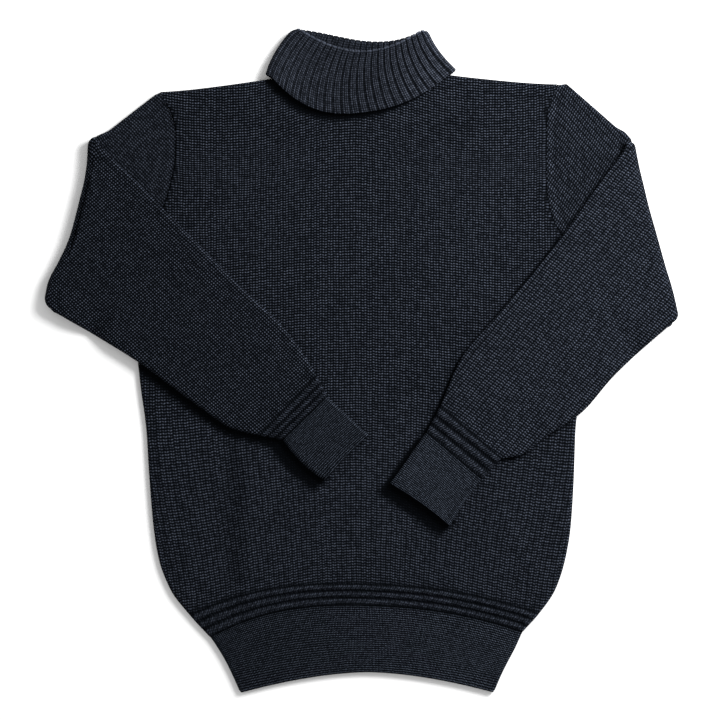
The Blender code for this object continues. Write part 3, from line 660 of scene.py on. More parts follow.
# the back turns over the shoulders and ends at the front's shoulder seams
def addShoulders(mesh, top):
    last = panels["armholeRows"][-1]
    seam = np.array([(*last[:4], 0.0, 0.0, 0.0, 1.0, 0.0)])
    tip = panels["shoulderTip"]
    width = top[0, 2] - top[0, 0]
    under, underFlat = panels["shoulderUnder"]
    for sign, neck, column in ((-1.0, panels["neck"][0], 0), (1.0, panels["neck"][1], 2)):
        outer = top[0, column]
        corner = top[0, 0] + width * neck
        inner = corner - sign * panels["neckTuck"]
        count = int(abs(inner - outer) / panels["waleWidths"][1] * panels["linesPerWale"])
        x = np.linspace(outer, inner, count + 1)
        slope = (tip[column] - last[column]) / (tip[column + 1] - last[column + 1])
        slope = slope * smooth(1.0 - np.abs(x - outer) / (width * panels["shoulderEase"]))
        lean = unit(np.stack([slope, np.ones(len(x))], axis=1)) * tubeHalf
        edge = np.stack([x, rowHeight(top, x)[0]], axis=1)
        base = edge - lean
        below = edge - np.array((0.0, tubeHalf * under))
        spots = [(below, 0.0, base + lean * underFlat), (base, 0.0, base + lean * pi)]
        for angle in np.linspace(0.0, pi, panels["shoulderRoll"])[1:]:
            z = tubeHalf * (1.0 - cos(angle))
            spots.append((base + lean * sin(angle), z, base + lean * (pi - angle)))
        seamX = mixed(last[column], inner, (x - outer) / (inner - outer))
        shownX = corner + sign * np.maximum(sign * (seamX - corner), 0.0)
        seamLine = np.stack([seamX, rowHeight(seam, shownX)[0] + seamGap], axis=1)
        dip, *dipRange = panels["shoulderDip"]
        for share in panels["shoulderSteps"]:
            xy = mixed(base, seamLine, share)
            spots.append((xy, stackTop - dip * ramp(share, *dipRange), xy))
        lift = neckLift(*base.T)
        points = np.stack([withHeight(xy, lift + z) for xy, z, flat in spots])
        flatX, flatY = np.moveaxis(np.stack([flat for xy, z, flat in spots]), 2, 0)
        knitY = knitLevel(flatX, flatY) / panels["course"]
        knit = grid(flatX / panels["waleWidths"][1], knitY)
        apart = np.linalg.norm(points[..., :2] - seamLine, axis=2)
        light = panels["light"][1] * shadeBeside(points[..., 0], points[..., 1])
        light = light * (1.0 - panels["shoulderDark"] * bell(apart, panels["seamWidth"]))
        mesh.addPatch(mesh.addPoints(points, light, panels["legs"][1]), knit, sign < 0)


# Flattened tubes: sleeves, cuffs and the hem band

rollSteps = 7


class Tube:
    # paths: one row of places across the tube for each ring, drawn in by half at both ends.
    # shown is 1 where the upper face of the first layer shows, -1 after a fold turns it under.
    def __init__(self, paths, halves, shown=1):
        rings, self.places = paths.shape[:2]
        half = np.broadcast_to(halves, rings)[:, None, None]
        first, last = paths[:, :1], paths[:, -1:]
        near = unit(first - paths[:, 1:2])
        far = unit(last - paths[:, -2:-1])
        angles = np.linspace(0.0, pi, rollSteps + 1)[1:-1]
        beyond = np.sin(angles)[:, None] * half
        rolled = (angles if shown > 0 else pi - angles)[:, None] * half
        nearRoll = (first + near * beyond)[:, ::-1]
        self.xy = joined(paths, last + far * beyond, paths[:, ::-1], nearRoll)
        self.plan = np.moveaxis(self.xy, 2, 0)
        layer, cosines = np.ones(self.places), np.cos(angles)
        self.sine = np.concatenate([layer, cosines, -layer, cosines[::-1]])
        self.offset = self.sine * half[..., 0]
        shifts = (0.0, far * half * pi)[::shown]
        farFlat = last + far * rolled
        self.mainFlat = joined(paths + shifts[0], farFlat, (paths + shifts[1])[:, ::-1])
        ends = (first + near * half * pi, first)[::shown]
        self.nearFlat = joined(ends[0], (first + near * rolled)[:, ::-1], ends[1])
        inward = half[..., 0]
        turned = inward * (1.0 - np.sin(angles))
        away = np.full_like(turned, farOff)
        fromNear = inward + np.linalg.norm(paths - first, axis=2)
        fromFar = inward + np.linalg.norm(paths - last, axis=2)
        self.fromNear = joined(fromNear, away, fromNear[:, ::-1], turned[:, ::-1])
        self.fromFar = joined(fromFar, turned, fromFar[:, ::-1], away)
        self.light = rimLight(near, self.fromNear) * rimLight(far, self.fromFar)

    def unroll(self, lengths, direction):  # moves the knit map of each ring
        shifts = (lengths[:, None] * direction)[:, None]
        self.mainFlat = self.mainFlat + shifts
        self.nearFlat = self.nearFlat + shifts


def planarKnit(flat, knit):  # counts wales and courses on the laid-out plane
    counts = []
    for kind in ("wale", "course"):
        angle = radians(knit[kind + "Angle"])
        counts.append((flat[..., 0] * cos(angle) - flat[..., 1] * sin(angle)) / knit[kind])
    return np.stack(counts, axis=-1)


def ringKnit(tube, span, ribs, courses):  # counts ribs round a tube and courses along it
    across = np.linspace(0.0, 1.0, tube.places)
    roll = np.linspace(0.0, 1.0, rollSteps + 1) * span * pi
    main = np.concatenate([across, 1.0 + roll[1:-1], 2.0 + roll[-1] - across[::-1]])
    parts = (main * ribs, -roll[::-1] * ribs)
    return [grid(part, courses[:, None]) for part in parts]


def addTube(mesh, tube, numbers, mainKnit, nearKnit):
    last = 2 * tube.places + rollSteps - 1
    mesh.addPatch(numbers[:, :last], mainKnit)
    mesh.addPatch(joined(numbers[:, last - 1 :], numbers[:, :1]), nearKnit)


rimAngles = np.linspace(0.0, pi, 8)[1:]
rimInside = (-3.0, -6.0)  # how far two more rings lie back inside


# a band's free end turns round the wall's edge and runs a little way back inside
def bandTube(paths, direction, shown=1):
    paths[0] += direction * seamGap
    paths[-1] -= direction * wall / 2.0
    reach = np.append(wall / 2.0 * np.sin(rimAngles), rimInside)
    rimHalves = tubeHalf - wall / 2.0 * (1.0 - np.cos(rimAngles))
    halves = np.concatenate([np.full(len(paths), tubeHalf), rimHalves, rimHalves[[-1, -1]]])
    rim = paths[-1] + reach[:, None, None] * direction
    return Tube(np.concatenate([paths, rim]), halves, shown)


# Sleeves

sleeveLay = {
    "foldRadius": 5.0, "foldSteps": 12,
    "turnSteps": 4,  # of them, those that belong to the upper arm
    "rest": 8.6, "droop": (20.0, 56.0), "sink": 8.1, "bowReach": 0.08,
    "bowSpread": 0.25, "placesAcross": 56,
    "startShare": 0.14,  # close rings near the armhole, up to this share of the upper arm
    "startRings": 11, "upperRings": 30, "ringsPerRow": 13, "cuffRings": 25,
    "tipShares": (0.0, 0.08, 0.16, 0.3), "tipSpread": 32.0, "tipBend": 1.3,
    "seamDark": 0.55, "seamWidth": 2.2,
    "stripEdges": ((1.5, 3.0), (9.5, 7.0)),  # where the strip beside the armhole starts and ends
    "seamLine": (10.6, 1.3),  # its distance from the armhole and its width
    "lightLine": (3.0, 1.6),  # from the forearm's upper edge
    "darkLine": (6.8, 1.1), "weltMiddle": 0.06, "cuffShade": (22.0, 22.0, 0.7),
    "cuffCourse": 2.3, "cuffRim": 2.0, "cuffSeam": (5.5, 1.3),
    "cuffSeamLight": (3.0, 1.5, 0.4),
    "cuffStart": (0.45, 2.0),  # how light the first rows are, and how far they reach
}

leftSleeve = {
    "sign": -1.0, "bow": 1.2,
    # the line the sleeve is folded over, from the arm's upper edge to its underarm edge
    "fold": (
        (-305, 250), (-306, 229), (-309, 206), (-314.5, 183), (-327, 137), (-338.5, 112),
        (-351, 87), (-356.5, 61),
    ),
    # upper edge x, y and underarm edge x, y, from the fold to the cuff
    "forearm": (
        (-305, 249, -356, 58), (-254, 202, -306, 29), (-197, 144, -254, -3), (-139, 86, -197, -45),
        (-86, 35, -146, -79), (-51, -17, -117, -86), (-39, -41, -90, -91),
    ),
    "cuff": (
        (-39, -41, -90, -91), (-22, -57, -78, -107), (-6, -72, -61, -124), (9, -85, -42, -138),
    ),
    "cuffBow": 1.5,  # how far the open end draws in between its corners
    "cuffSeam": 0.1,
    "upperKnit": {"waleAngle": 42, "wale": 5.7, "courseAngle": 135, "course": 3.0},
    "lowerKnit": {"waleAngle": 134, "wale": 5.75, "courseAngle": 51, "course": 3.1},
    # painted light and shade, legs, rows and middle, of the upper arm and of the forearm
    "finish": ((0.62, 0.88, 0.94, 0.1), (0.88, 1.09, 0.96, 0.03)), "cuffLight": 0.74,
    "armShade": (6.0, 20.0, 0.65),  # its reach at the elbow and the wrist, and its dark share
    # how far each corner of the fold stands out along it, how far its outer side rounds back,
    # and the length over which it runs out into the arm
    "tip": (5.4, 3.0, 15.0), "lowTip": (1.0, 6.5, 10.0),
    "edgeLines": (0.12, 0.3),  # a light line along the forearm's upper edge, and a dark one
    "seamStrip": 1.05,  # a light strip along the armhole, and the dark line beyond it
    "seamLine": 0.25,
    "upperCreases": ((-236, 262, -300, 232, 9.0, 1.2), (-262, 120, -328, 150, 12.0, -1.4)),
    "lowerCreases": (
        (-340, 90, -268, 120, 10.0, 1.5), (-352, 70, -290, 62, 9.0, 1.4),
        (-262, 92, -176, 30, 16.0, 1.0), (-150, -50, -88, -30, 9.0, 1.2),
    ),
    "cuffRibs": 18,
}

rightSleeve = {
    "sign": 1.0, "bow": 7.6,
    "fold": (
        (306, 247), (311, 221), (316, 200), (322, 175), (331, 143), (341, 107), (350, 77),
        (357, 46),
    ),
    "forearm": (
        (306, 246, 357, 43), (277, 208, 330, 19), (240, 155, 287.5, -21), (200, 104, 254, -59),
        (160, 56, 212, -88), (114, 1, 183, -109), (91, -52, 162, -113), (75, -82, 139, -136),
    ),
    "cuff": (
        (75, -82, 139, -136), (61, -102, 124, -155), (47, -122, 112, -173), (33, -141, 102, -190),
    ),
    "cuffBow": 1.8, "cuffSeam": 0.5,
    "upperKnit": {"waleAngle": 137, "wale": 5.98, "courseAngle": 28, "course": 2.85},
    "lowerKnit": {"waleAngle": 39, "wale": 5.6, "courseAngle": 123, "course": 3.17},
    # painted light and shade, legs, rows and middle, as on the left sleeve
    "finish": ((0.83, 1.02, 0.97, 0.12), (0.92, 1.0, 0.97, 0.14)), "cuffLight": 1.02,
    "armShade": (9.0, 10.0, 0.5), "tip": (4.0, 0.0, 8.0), "lowTip": (3.0, 2.5, 8.0),
    "edgeLines": (0.3, 0.35), "seamStrip": 1.35, "seamLine": 0.3,
    "upperCreases": ((250, 250, 300, 225, 9.0, 1.0), (300, 250, 262, 165, 8.0, 1.6)),
    "lowerCreases": (
        (345, 66, 268, 34, 12.0, 1.6), (352, 96, 282, 118, 9.0, 1.3), (262, 0, 226, 40, 8.0, 1.5),
        (216, -62, 182, -24, 8.0, 1.5), (150, 10, 196, -40, 14.0, -0.9),
    ),
    "cuffRibs": 20,
}


class SleeveShape:
    def __init__(self, table):
        self.table = table
        self.sign = table["sign"]
        side = slice(0, 2) if self.sign < 0 else slice(2, 4)
        rows = [panels["bodyRows"][-1][1:], *panels["armholeRows"], panels["shoulderTip"]]
        edge = [row[side] for row in rows]
        at = np.linspace(len(edge) - 1.0, 0.0, sampleCount)
        self.armLine = curveThrough(np.arange(len(edge)), edge, at)
        lengths = runLengths(self.armLine)
        self.armShares = lengths / lengths[-1]
        self.foldLine = np.array(table["fold"], float)
        self.foldShares = np.linspace(0.0, 1.0, len(self.foldLine))
        run = unit(self.foldLine[-1] - self.foldLine[0])
        self.outward = np.array((-run[1], run[0])) * -np.sign(run[1]) * self.sign
        upper = np.abs(unit(self.foldLine[0] - self.armLine[0]))
        self.upward = np.array((upper[1] * self.sign, upper[0]))

    def across(self, ends):  # even places, drawn in by half a tube at both ends
        inset = tubeHalf / np.linalg.norm(np.subtract(*ends))
        return np.linspace(inset, 1.0 - inset, sleeveLay["placesAcross"])

    def armPoint(self, part):
        return np.stack([np.interp(part, self.armShares, line) for line in self.armLine.T], axis=-1)

    def foldPoint(self, part):
        return curveThrough(self.foldShares, self.foldLine, part)

    def upperPath(self, share):
        both = np.array((0.0, 1.0))
        part = self.across(mixed(self.armPoint(both), self.foldPoint(both), share))
        path = mixed(self.armPoint(part), self.foldPoint(part), share)
        bow = self.table["bow"] * smooth(share / sleeveLay["bowReach"])
        weight = smooth(1.0 - part / sleeveLay["bowSpread"])
        return path + self.upward * (bow * weight)[:, None]

    def lowerPath(self, rows, at):
        row = curveThrough(np.arange(len(rows)), rows, at)
        upper, under = row[:2], row[2:]
        return mixed(upper, under, self.across((upper, under))[:, None])

    def supportDrop(self, xy):
        rows = np.array(panels["bodyRows"], float)
        edge = rows[:, 1:3] if self.sign < 0 else rows[:, 3:5]
        edgeX = curveThrough(edge[:, 1], edge[:, :1], xy[..., 1])[..., 0]
        offBody = np.maximum(self.sign * (xy[..., 0] - edgeX), 0.0)
        along = unit(self.foldLine[-1] - self.armLine[-1])
        below = np.array((along[1], -along[0])) * np.sign(along[0])
        offArm = np.maximum((xy - self.armLine[-1]) @ below, 0.0)
        return sleeveLay["sink"] * ramp(np.minimum(offBody, offArm), *sleeveLay["droop"])

    def roundTips(self, points):  # moves points near the fold's two corners along the fold
        moved = np.array(points)
        bend = sleeveLay["tipBend"]
        fold = self.foldLine
        for corner, inner, tip in ((fold[0], fold[1], "tip"), (fold[-1], fold[-2], "lowTip")):
            rise, cut, runOut = self.table[tip]
            inward = unit(inner - corner)
            out = np.array((-inward[1], inward[0]))
            out = out if out @ self.outward > 0 else -out
            fromCorner = points[..., :2] - corner
            beyond = fromCorner @ out
            around = np.clip(beyond / (sleeveLay["foldRadius"] + tubeHalf), 0.0, 1.0)
            shift = (rise + cut) * (1.0 - (1.0 - around**bend) ** (1.0 / bend))
            shift = shift - rise * np.clip(1.0 + beyond / runOut, 0.0, 1.0)
            shift = shift * smooth(1.0 - fromCorner @ inward / sleeveLay["tipSpread"])
            moved[..., :2] += shift[..., None] * inward
        return moved

    def layFold(self, tube, angles):
        radius = sleeveLay["foldRadius"] - tube.offset
        xy = tube.xy + (radius * np.sin(angles)[:, None])[..., None] * self.outward
        return withHeight(xy, tubeHalf + sleeveLay["foldRadius"] - radius * np.cos(angles)[:, None])

    def layForearm(self, tube, bulge, raised=0.0):
        rest = sleeveLay["rest"] + tubeHalf - self.supportDrop(tube.xy)
        height = mixed(rest, tubeHalf + 2.0 * sleeveLay["foldRadius"], bulge)
        return withHeight(tube.xy, height - tube.offset + np.maximum(-tube.sine, 0.0) * raised)


def sleeveMesh(shape):
    table = shape.table
    mesh = KnitMesh()
    outerRadius = sleeveLay["foldRadius"] + tubeHalf
    start = sleeveLay["startShare"]
    shares = np.linspace(start, 1.0, sleeveLay["upperRings"])[1:]
    shares = np.append(np.linspace(0.0, start, sleeveLay["startRings"]), shares)
    upperPaths = [shape.upperPath(share) for share in shares]
    foldPath = shape.foldPoint(shape.across((shape.foldLine[0], shape.foldLine[-1])))
    angles = np.linspace(0.0, pi, sleeveLay["foldSteps"] + 1)
    before = angles[1 : sleeveLay["turnSteps"] + 1]
    after = angles[sleeveLay["turnSteps"] :]

    # the upper arm, from the armhole over the first part of the fold
    upper = Tube(np.array(upperPaths + [foldPath] * len(before)), tubeHalf)
    upperAngles = np.append(np.zeros(len(upperPaths)), before)
    laid = withHeight(upper.xy, tubeHalf + upper.offset)
    laid[..., 2] += creaseRelief(*upper.plan, table["upperCreases"]) * np.clip(upper.sine, 0.0, 1.0)
    flat = upperAngles[:, None] == 0.0
    points = shape.roundTips(np.where(flat[..., None], laid, shape.layFold(upper, upperAngles)))
    upper.unroll(upperAngles * outerRadius, shape.outward)
    seam = distanceTo(shape.armLine[::4], upper.xy)
    seamLight = 1.0 - sleeveLay["seamDark"] * bell(seam, sleeveLay["seamWidth"])
    strip = ramp(seam, *sleeveLay["stripEdges"][0]) * ramp(seam, *sleeveLay["stripEdges"][1])
    seamLight = seamLight * mixed(1.0, table["seamStrip"], strip)
    lineAt, lineWidth = sleeveLay["seamLine"]
    seamLight = seamLight * (1.0 - table["seamLine"] * bell(seam - lineAt, lineWidth))
    covered = shadeBeside(points[..., 0], points[..., 1])
    covered = mixed(1.0, covered, flat * np.clip(upper.sine * 3.0, 0.0, 1.0))
    # the upper arm's painted light and shade, and the depths of the painted shade in its gaps
    light, *depths = table["finish"][0]
    numbers = mesh.addPoints(points, light * upper.light * seamLight * covered, *depths)
    knits = [planarKnit(part, table["upperKnit"]) for part in (upper.mainFlat, upper.nearFlat)]
    addTube(mesh, upper, numbers, *knits)

    # the rest of the fold and the forearm, whose shown side is the upper arm's hidden one
    weltStart = len(table["forearm"]) - 2
    plain = np.linspace(0.0, weltStart, sleeveLay["ringsPerRow"] * weltStart + 1)[1:]
    at = np.append(plain, np.linspace(weltStart, weltStart + 1.0, int(weltTop) + 1)[1:])
    paths = [shape.lowerPath(table["forearm"], place) for place in at]
    arm = Tube(np.array([foldPath] * len(after) + paths), tubeHalf, -1)
    armAngles = np.append(after, np.full(len(paths), pi))
    at = np.append(np.zeros(len(after)), at)
    distance = ((weltStart + 1.0 - at) * weltTop)[:, None]
    away = 1.0 - weltShare(distance)
    laid = shape.layForearm(arm, (1.0 - smooth(at))[:, None], weltRelief(distance))
    creases = creaseRelief(*arm.plan, table["lowerCreases"])
    laid[..., 2] += creases * np.clip(-arm.sine, 0.0, 1.0) * away
    folded = armAngles[:, None, None] < pi
    points = shape.roundTips(np.where(folded, shape.layFold(arm, armAngles), laid))
    arm.unroll((pi - armAngles) * outerRadius, shape.outward)
    light, legs, rows, middle = table["finish"][1]
    lines = 0.0
    for share, sign, name in zip(table["edgeLines"], (1.0, -1.0), ("lightLine", "darkLine")):
        place, width = sleeveLay[name]
        lines = lines + share * sign * bell(arm.fromNear - place, width)
    light = light * arm.light * weltLight(distance) * (1.0 + lines * away * (arm.sine < 0.0))
    rows = mixed(rows, welts["rows"], 1.0 - away)
    middle = mixed(middle, sleeveLay["weltMiddle"], 1.0 - away)
    armNumbers = mesh.addPoints(points[1:], light[1:], legs, rows[1:], middle[1:])
    knits = [planarKnit(part, table["lowerKnit"]) for part in (arm.mainFlat, arm.nearFlat)]
    for knit in knits:
        knit[..., 0] += weltSlant(distance)
    addTube(mesh, arm, np.concatenate([numbers[-1:], armNumbers]), *knits)
    return mesh


def cuffMesh(shape):
    table = shape.table
    rows = np.array(table["cuff"], float)
    middles = (rows[:, :2] + rows[:, 2:]) / 2.0
    direction = unit(middles[-1] - middles[0])
    at = np.linspace(0.0, len(rows) - 1.0, sleeveLay["cuffRings"])
    paths = np.array([shape.lowerPath(rows, place) for place in at])
    share = np.linspace(0.0, 1.0, sleeveLay["placesAcross"])
    bow = (4.0 * table["cuffBow"] * share * (1.0 - share))[:, None] * direction
    paths -= smooth(at / at[-1])[:, None, None] * bow
    tube = bandTube(paths, direction, -1)
    along = runLengths(tube.xy[:, 0])
    span = tubeHalf / np.linalg.norm(rows[0, :2] - rows[0, 2:])
    fromEnd = np.maximum(along[len(at) - 1] + sleeveLay["cuffRim"] - along, 0.0)[:, None]
    first, reach = sleeveLay["cuffStart"]
    light = tube.light * rimLight(direction, fromEnd)
    light = light * mixed(first, 1.0, smooth(along / reach))[:, None] * table["cuffLight"]
    place, width = sleeveLay["cuffSeam"]
    lightPlace, lightWidth, lightShare = sleeveLay["cuffSeamLight"]
    seam = bell(tube.fromFar - place, width)
    seam = seam - lightShare * bell(tube.fromFar - lightPlace, lightWidth)
    light = light * (1.0 - table["cuffSeam"] * seam * (tube.sine < 0.0))
    mesh = KnitMesh()
    numbers = mesh.addPoints(shape.layForearm(tube, 0.0), light)
    knits = ringKnit(tube, span, table["cuffRibs"], along / sleeveLay["cuffCourse"])
    addTube(mesh, tube, numbers, *knits)
    return mesh


# Hem band

hem = {
    # middleY, leftX, leftY, rightX, rightY, bow, skew: from the seam to the free edge
    "rows": (
        (-281, -174, -318, 186, -312, 2.4, -8), (-302, -165, -331, 177.5, -331, 2.2, -6),
        (-321, -156, -346, 169, -347, 2.0, -3), (-340, -148, -362, 161.5, -362, 1.8, 0),
        (-358.5, -139, -382.4, 153, -382, 1.7, 0),
    ),
    "rings": 28, "ribs": 90, "span": 330.0, "course": 2.45, "linesPerRib": 4,
    "light": (0.62, 0.95),  # at the left and at the right
    "lightEnds": (-160.0, 160.0),
}


def hemMesh():
    rows = np.array(hem["rows"], float)
    stations = np.arange(len(rows))
    paths = []
    for at in np.linspace(0.0, stations[-1], hem["rings"]):
        middleY, leftX, leftY, rightX, rightY, bow, skew = curveThrough(stations, rows, at)
        inset = tubeHalf / (rightX - leftX)
        share = np.linspace(inset, 1.0 - inset, hem["ribs"] * hem["linesPerRib"] + 1)
        y = bowed(leftY, rightY, share, middleY - (leftY + rightY) / 2.0, bow, skew)
        paths.append(np.stack([mixed(leftX, rightX, share), y], axis=1))
    tube = bandTube(np.array(paths), np.array((0.0, -1.0)))
    fromSeam = runLengths(tube.xy[:, tube.places // 2, 1:])
    light = tube.light * weltLight(-fromSeam[:, None])
    light = light * mixed(*hem["light"], ramp(tube.xy[..., 0], *hem["lightEnds"]))
    mesh = KnitMesh()
    numbers = mesh.addPoints(withHeight(tube.xy, tubeHalf + tube.offset), light)
    knits = ringKnit(tube, tubeHalf / hem["span"], hem["ribs"], fromSeam / hem["course"])
    addTube(mesh, tube, numbers, *knits)
    return mesh


# Collar

collarCut = {
    # leftX, leftY, rightX, rightY, frontY, backY, bow, frontSkew, backSkew
    "fold": (-71, 377.2, 70, 375.4, 352, 364.5, 1.9, 0, -8),
    "edge": (-102, 325.5, 102, 329.5, 285, 293, 2.4, 9, 0),
    "foot": (-86.6, 327.6, 86.8, 331.0), "wall": 2.8, "gap": 1.4, "ribsAcross": 22,
    "ribsRound": 2, "linesPerRib": 16, "ribHeight": 1.3, "ribSink": 0.3,
    "innerRib": 0.5,  # how much of the ribs' height shows on the inner leg
    "ribRange": (0.2, 0.8),
    "ribRise": 0.2,  # how much of a rib each flank takes
    "ribDip": 0.1, "ribDipStart": 0.3, "lean": -4.2, "edgeLift": 3.5, "edgeRound": 1.2,
    "edgeBack": 4.0, "course": 2.6, "innerSteps": 9, "foldSteps": 15, "outerSteps": 60,
    "grooveFlat": 0.035, "grooveWidth": 0.1,
    "grooveLight": (0.25, 0.0),  # at the left and at the right
    "halfGrooveLight": (0.35, 0.8), "grooveEnds": (-80.0, 80.0), "lipAngle": 2.3,
    "lipWidth": 0.36, "lipLight": -0.22,
    "cornerRound": 10.0,  # how far from the tips of the fold their rounding starts
    "cornerStep": 30, "insideShade": 0.3, "insideReach": (7.0, 2.0), "legsPerRib": 4,
    "light": ((-78, 1.18), (-20, 0.85), (20, 0.91), (78, 1.48)),  # by x
    "shade": (15.0, 24.0, 0.55),
}


def pointsAlong(line, shares):
    lengths = runLengths(line)
    return np.stack([np.interp(shares * lengths[-1], lengths, axis) for axis in line.T], axis=1)


def collarLine(name, front):
    leftX, leftY, rightX, rightY, frontY, backY, bow, frontSkew, backSkew = collarCut[name]
    share = np.linspace(0.0, 1.0, sampleCount)
    rise = (frontY if front else backY) - (leftY + rightY) / 2.0
    y = bowed(leftY, rightY, share, rise, bow, frontSkew if front else backSkew)
    return np.stack([mixed(leftX, rightX, share), y], axis=1)


# rounds a corner: up and out run along its two sides towards the tip
def roundCorner(points, tip, up, out, size):
    sides = np.stack([up, out], axis=1)
    apart = (tip - points[..., :2]) @ np.linalg.inv(sides).T
    near = np.clip(1.0 - apart / size, 0.0, 1.0)
    length = np.maximum(np.hypot(near[..., 0], near[..., 1]), 0.001)
    shift = near * (1.0 - near.max(axis=-1) / length)[..., None] * size
    return withHeight(points[..., :2] - shift @ sides.T, points[..., 2])


def neckSeam(front):
    share = np.linspace(*panels["neck"], 41)
    leftX, leftY, rightX, rightY = collarCut["foot"]

    def line(station, top):
        x = mixed(station[0] + seamGap, station[2] - seamGap, share)
        return np.stack([x, mixed(station[1], station[3], share) + topRise(top, share)], axis=1)

    seam = line(panels["shoulderTip"], panels["backTop"])
    seam[[0, -1], 1] -= tubeHalf
    if front:
        edge = line(panels["armholeRows"][-1], panels["frontTop"])
        seam = np.concatenate([seam[:1], edge, seam[-1:]])
    seam = seam + np.array((0.0, seamGap))
    return np.concatenate([[(leftX, leftY)], seam, [(rightX, rightY)]])


def collarMesh():
    cut = collarCut
    ribs, lines = cut["ribsAcross"], cut["linesPerRib"]
    shares = np.linspace(0.0, 1.0, ribs * lines + 1)
    around = cut["ribsRound"] * lines
    steps = np.arange(1, around)
    turns = 90.0 - 180.0 * steps / around

    # once round: the front, the right-hand turn, the back and the left-hand turn
    def ring(front, back):
        front, back = pointsAlong(front, shares), pointsAlong(back, shares)
        right, left = np.repeat(front[-1:], len(steps), 0), np.repeat(back[:1], len(steps), 0)
        return np.concatenate([front, right, back[::-1], left, front[:1]])

    foot = ring(neckSeam(True), neckSeam(False))
    folds = [collarLine("fold", front) for front in (True, False)]
    edges = [collarLine("edge", front) for front in (True, False)]
    fold, edge = ring(*folds), ring(*edges)
    flat = np.full(len(shares), 90.0)
    turn = np.radians(np.concatenate([flat, turns, -flat, -turns, flat[:1]]))
    counts = (len(shares), len(steps), len(shares), len(steps), 1)
    side = np.repeat((0.0, 1.0, 0.0, -1.0, 0.0), counts)
    firstHalf = np.append(shares * ribs, ribs + steps / lines)
    secondHalf = np.append(2 * ribs + 2 - shares[::-1] * ribs, 2 * ribs + 2 + steps / lines)
    rib = np.concatenate([firstHalf, secondHalf, [2 * ribs + 4.0]])
    halfWall = cut["wall"] / 2.0
    foldRadius = (cut["wall"] + cut["gap"]) / 2.0
    upward = unit(fold - edge)
    sine = np.sin(turn)
    facing = (1.0 + sine) / 2.0

    # leg, share of the leg and angle of the fold, from the foot over the fold to the free edge
    stations = [(0, share, 0.0) for share in np.linspace(0.0, 1.0, cut["innerSteps"])[:-1]]
    stations += [(0, 1.0, angle) for angle in np.linspace(0.0, pi, cut["foldSteps"])]
    stations += [(1, share, pi) for share in np.linspace(0.0, 1.0, cut["outerSteps"])[1:]]
    legs, parts, angles = np.array(stations).T[:, :, None]
    half = foldRadius * (2.0 - np.cos(angles))
    share = parts[..., None]
    xy = np.where(legs[..., None] > 0, mixed(fold, edge, share), mixed(foot, fold, share))
    xy = xy + upward * (foldRadius * np.sin(angles))[..., None]
    xy[..., 0] += cut["lean"] * 4.0 * parts * (1.0 - parts)
    beside = np.stack([upward[:, 1], -upward[:, 0]], axis=1)
    xy = xy + (side * half * np.cos(turn))[..., None] * beside
    lift = cut["edgeLift"] * smooth(parts) * facing * legs
    middle = withHeight(xy, halfWall + foldRadius * 3.0 + half * sine + lift)
    shown = mixed(cut["innerRib"], 1.0, ramp(angles / pi, *cut["ribRange"]))

    down = np.gradient(middle, axis=0)
    loop = middle[:, :-1]
    beside = np.roll(loop, -1, axis=1) - np.roll(loop, 1, axis=1)
    normal = unit(np.cross(joined(beside, beside[:, :1]), down))
    if normal[-1, ribs * lines // 2, 2] < 0:
        normal = -normal

    phase = rib % 1.0
    fromGroove = np.minimum(phase, 1.0 - phase)
    dip = cut["ribDip"] * smooth((fromGroove - cut["ribDipStart"]) / cut["ribRise"])
    relief = cut["ribHeight"] * (smooth(fromGroove / cut["ribRise"]) - dip) * shown
    height = (halfWall + relief - cut["ribSink"])[:, :, None]
    outer = middle + normal * height

    # the free edge turns round the wall and a little way up inside
    away = unit(middle[-1] - middle[-2])
    turned = rimAngles[:, None, None]
    height = mixed(-halfWall, height[-1], (1.0 + np.cos(turned)) / 2.0)
    rim = middle[-1] + away * np.sin(turned) * cut["edgeRound"] + normal[-1] * height
    outer = np.concatenate([outer, rim, rim[-1:] - away * cut["edgeBack"]])
    outer[:, :, 2] = np.maximum(outer[:, :, 2], 0.0)
    near = cut["cornerStep"]
    for end, inner in ((0, near), (-1, -1 - near)):
        up = unit(folds[0][end] - edges[0][end])
        out = unit(folds[1][end] - folds[1][inner])
        places = outer[..., :2].reshape(-1, 2)
        tip = places[np.argmax(places @ (up + out))]
        outer = roundCorner(outer, tip, up, out, cut["cornerRound"])

    lengths = runLengths(outer[:, ribs * lines // 2])
    wales = (rib * cut["legsPerRib"] + 0.5) / 2.0
    knit = grid(wales, lengths[:, None] / cut["course"])

    # painted light on a smooth lip along the front fold, as lipLight sets it, and painted shade
    # behind it inside the neck
    rimRows = np.ones((len(rim) + 1, 1))
    angles = np.concatenate([angles, rimRows * pi])
    legs = np.concatenate([legs, rimRows])
    lip = bell(angles - cut["lipAngle"], cut["lipWidth"]) * facing**2
    behind = distanceTo(folds[0][::2], outer[..., :2])
    inside = (1.0 - facing) * (legs == 0)
    x = outer[..., 0]
    light = (1.0 + cut["lipLight"] * lip) * np.interp(x, *np.array(cut["light"], float).T)
    light = light * (1.0 - cut["insideShade"] * inside * ramp(behind, *cut["insideReach"]))
    # painted shade in the grooves between the ribs and down the middle of each rib
    distances = (fromGroove - cut["grooveFlat"], 0.5 - fromGroove)
    for ends, distance in zip((cut["grooveLight"], cut["halfGrooveLight"]), distances):
        there = mixed(*ends, ramp(x, *cut["grooveEnds"]))
        light = light * mixed(1.0, there, ramp(distance, cut["grooveWidth"], 0.0) * (1.0 - lip))
    mesh = KnitMesh()
    mesh.addPatch(mesh.addPoints(outer, light, 1.0 - lip, 1.0 - lip), knit, True)
    return mesh


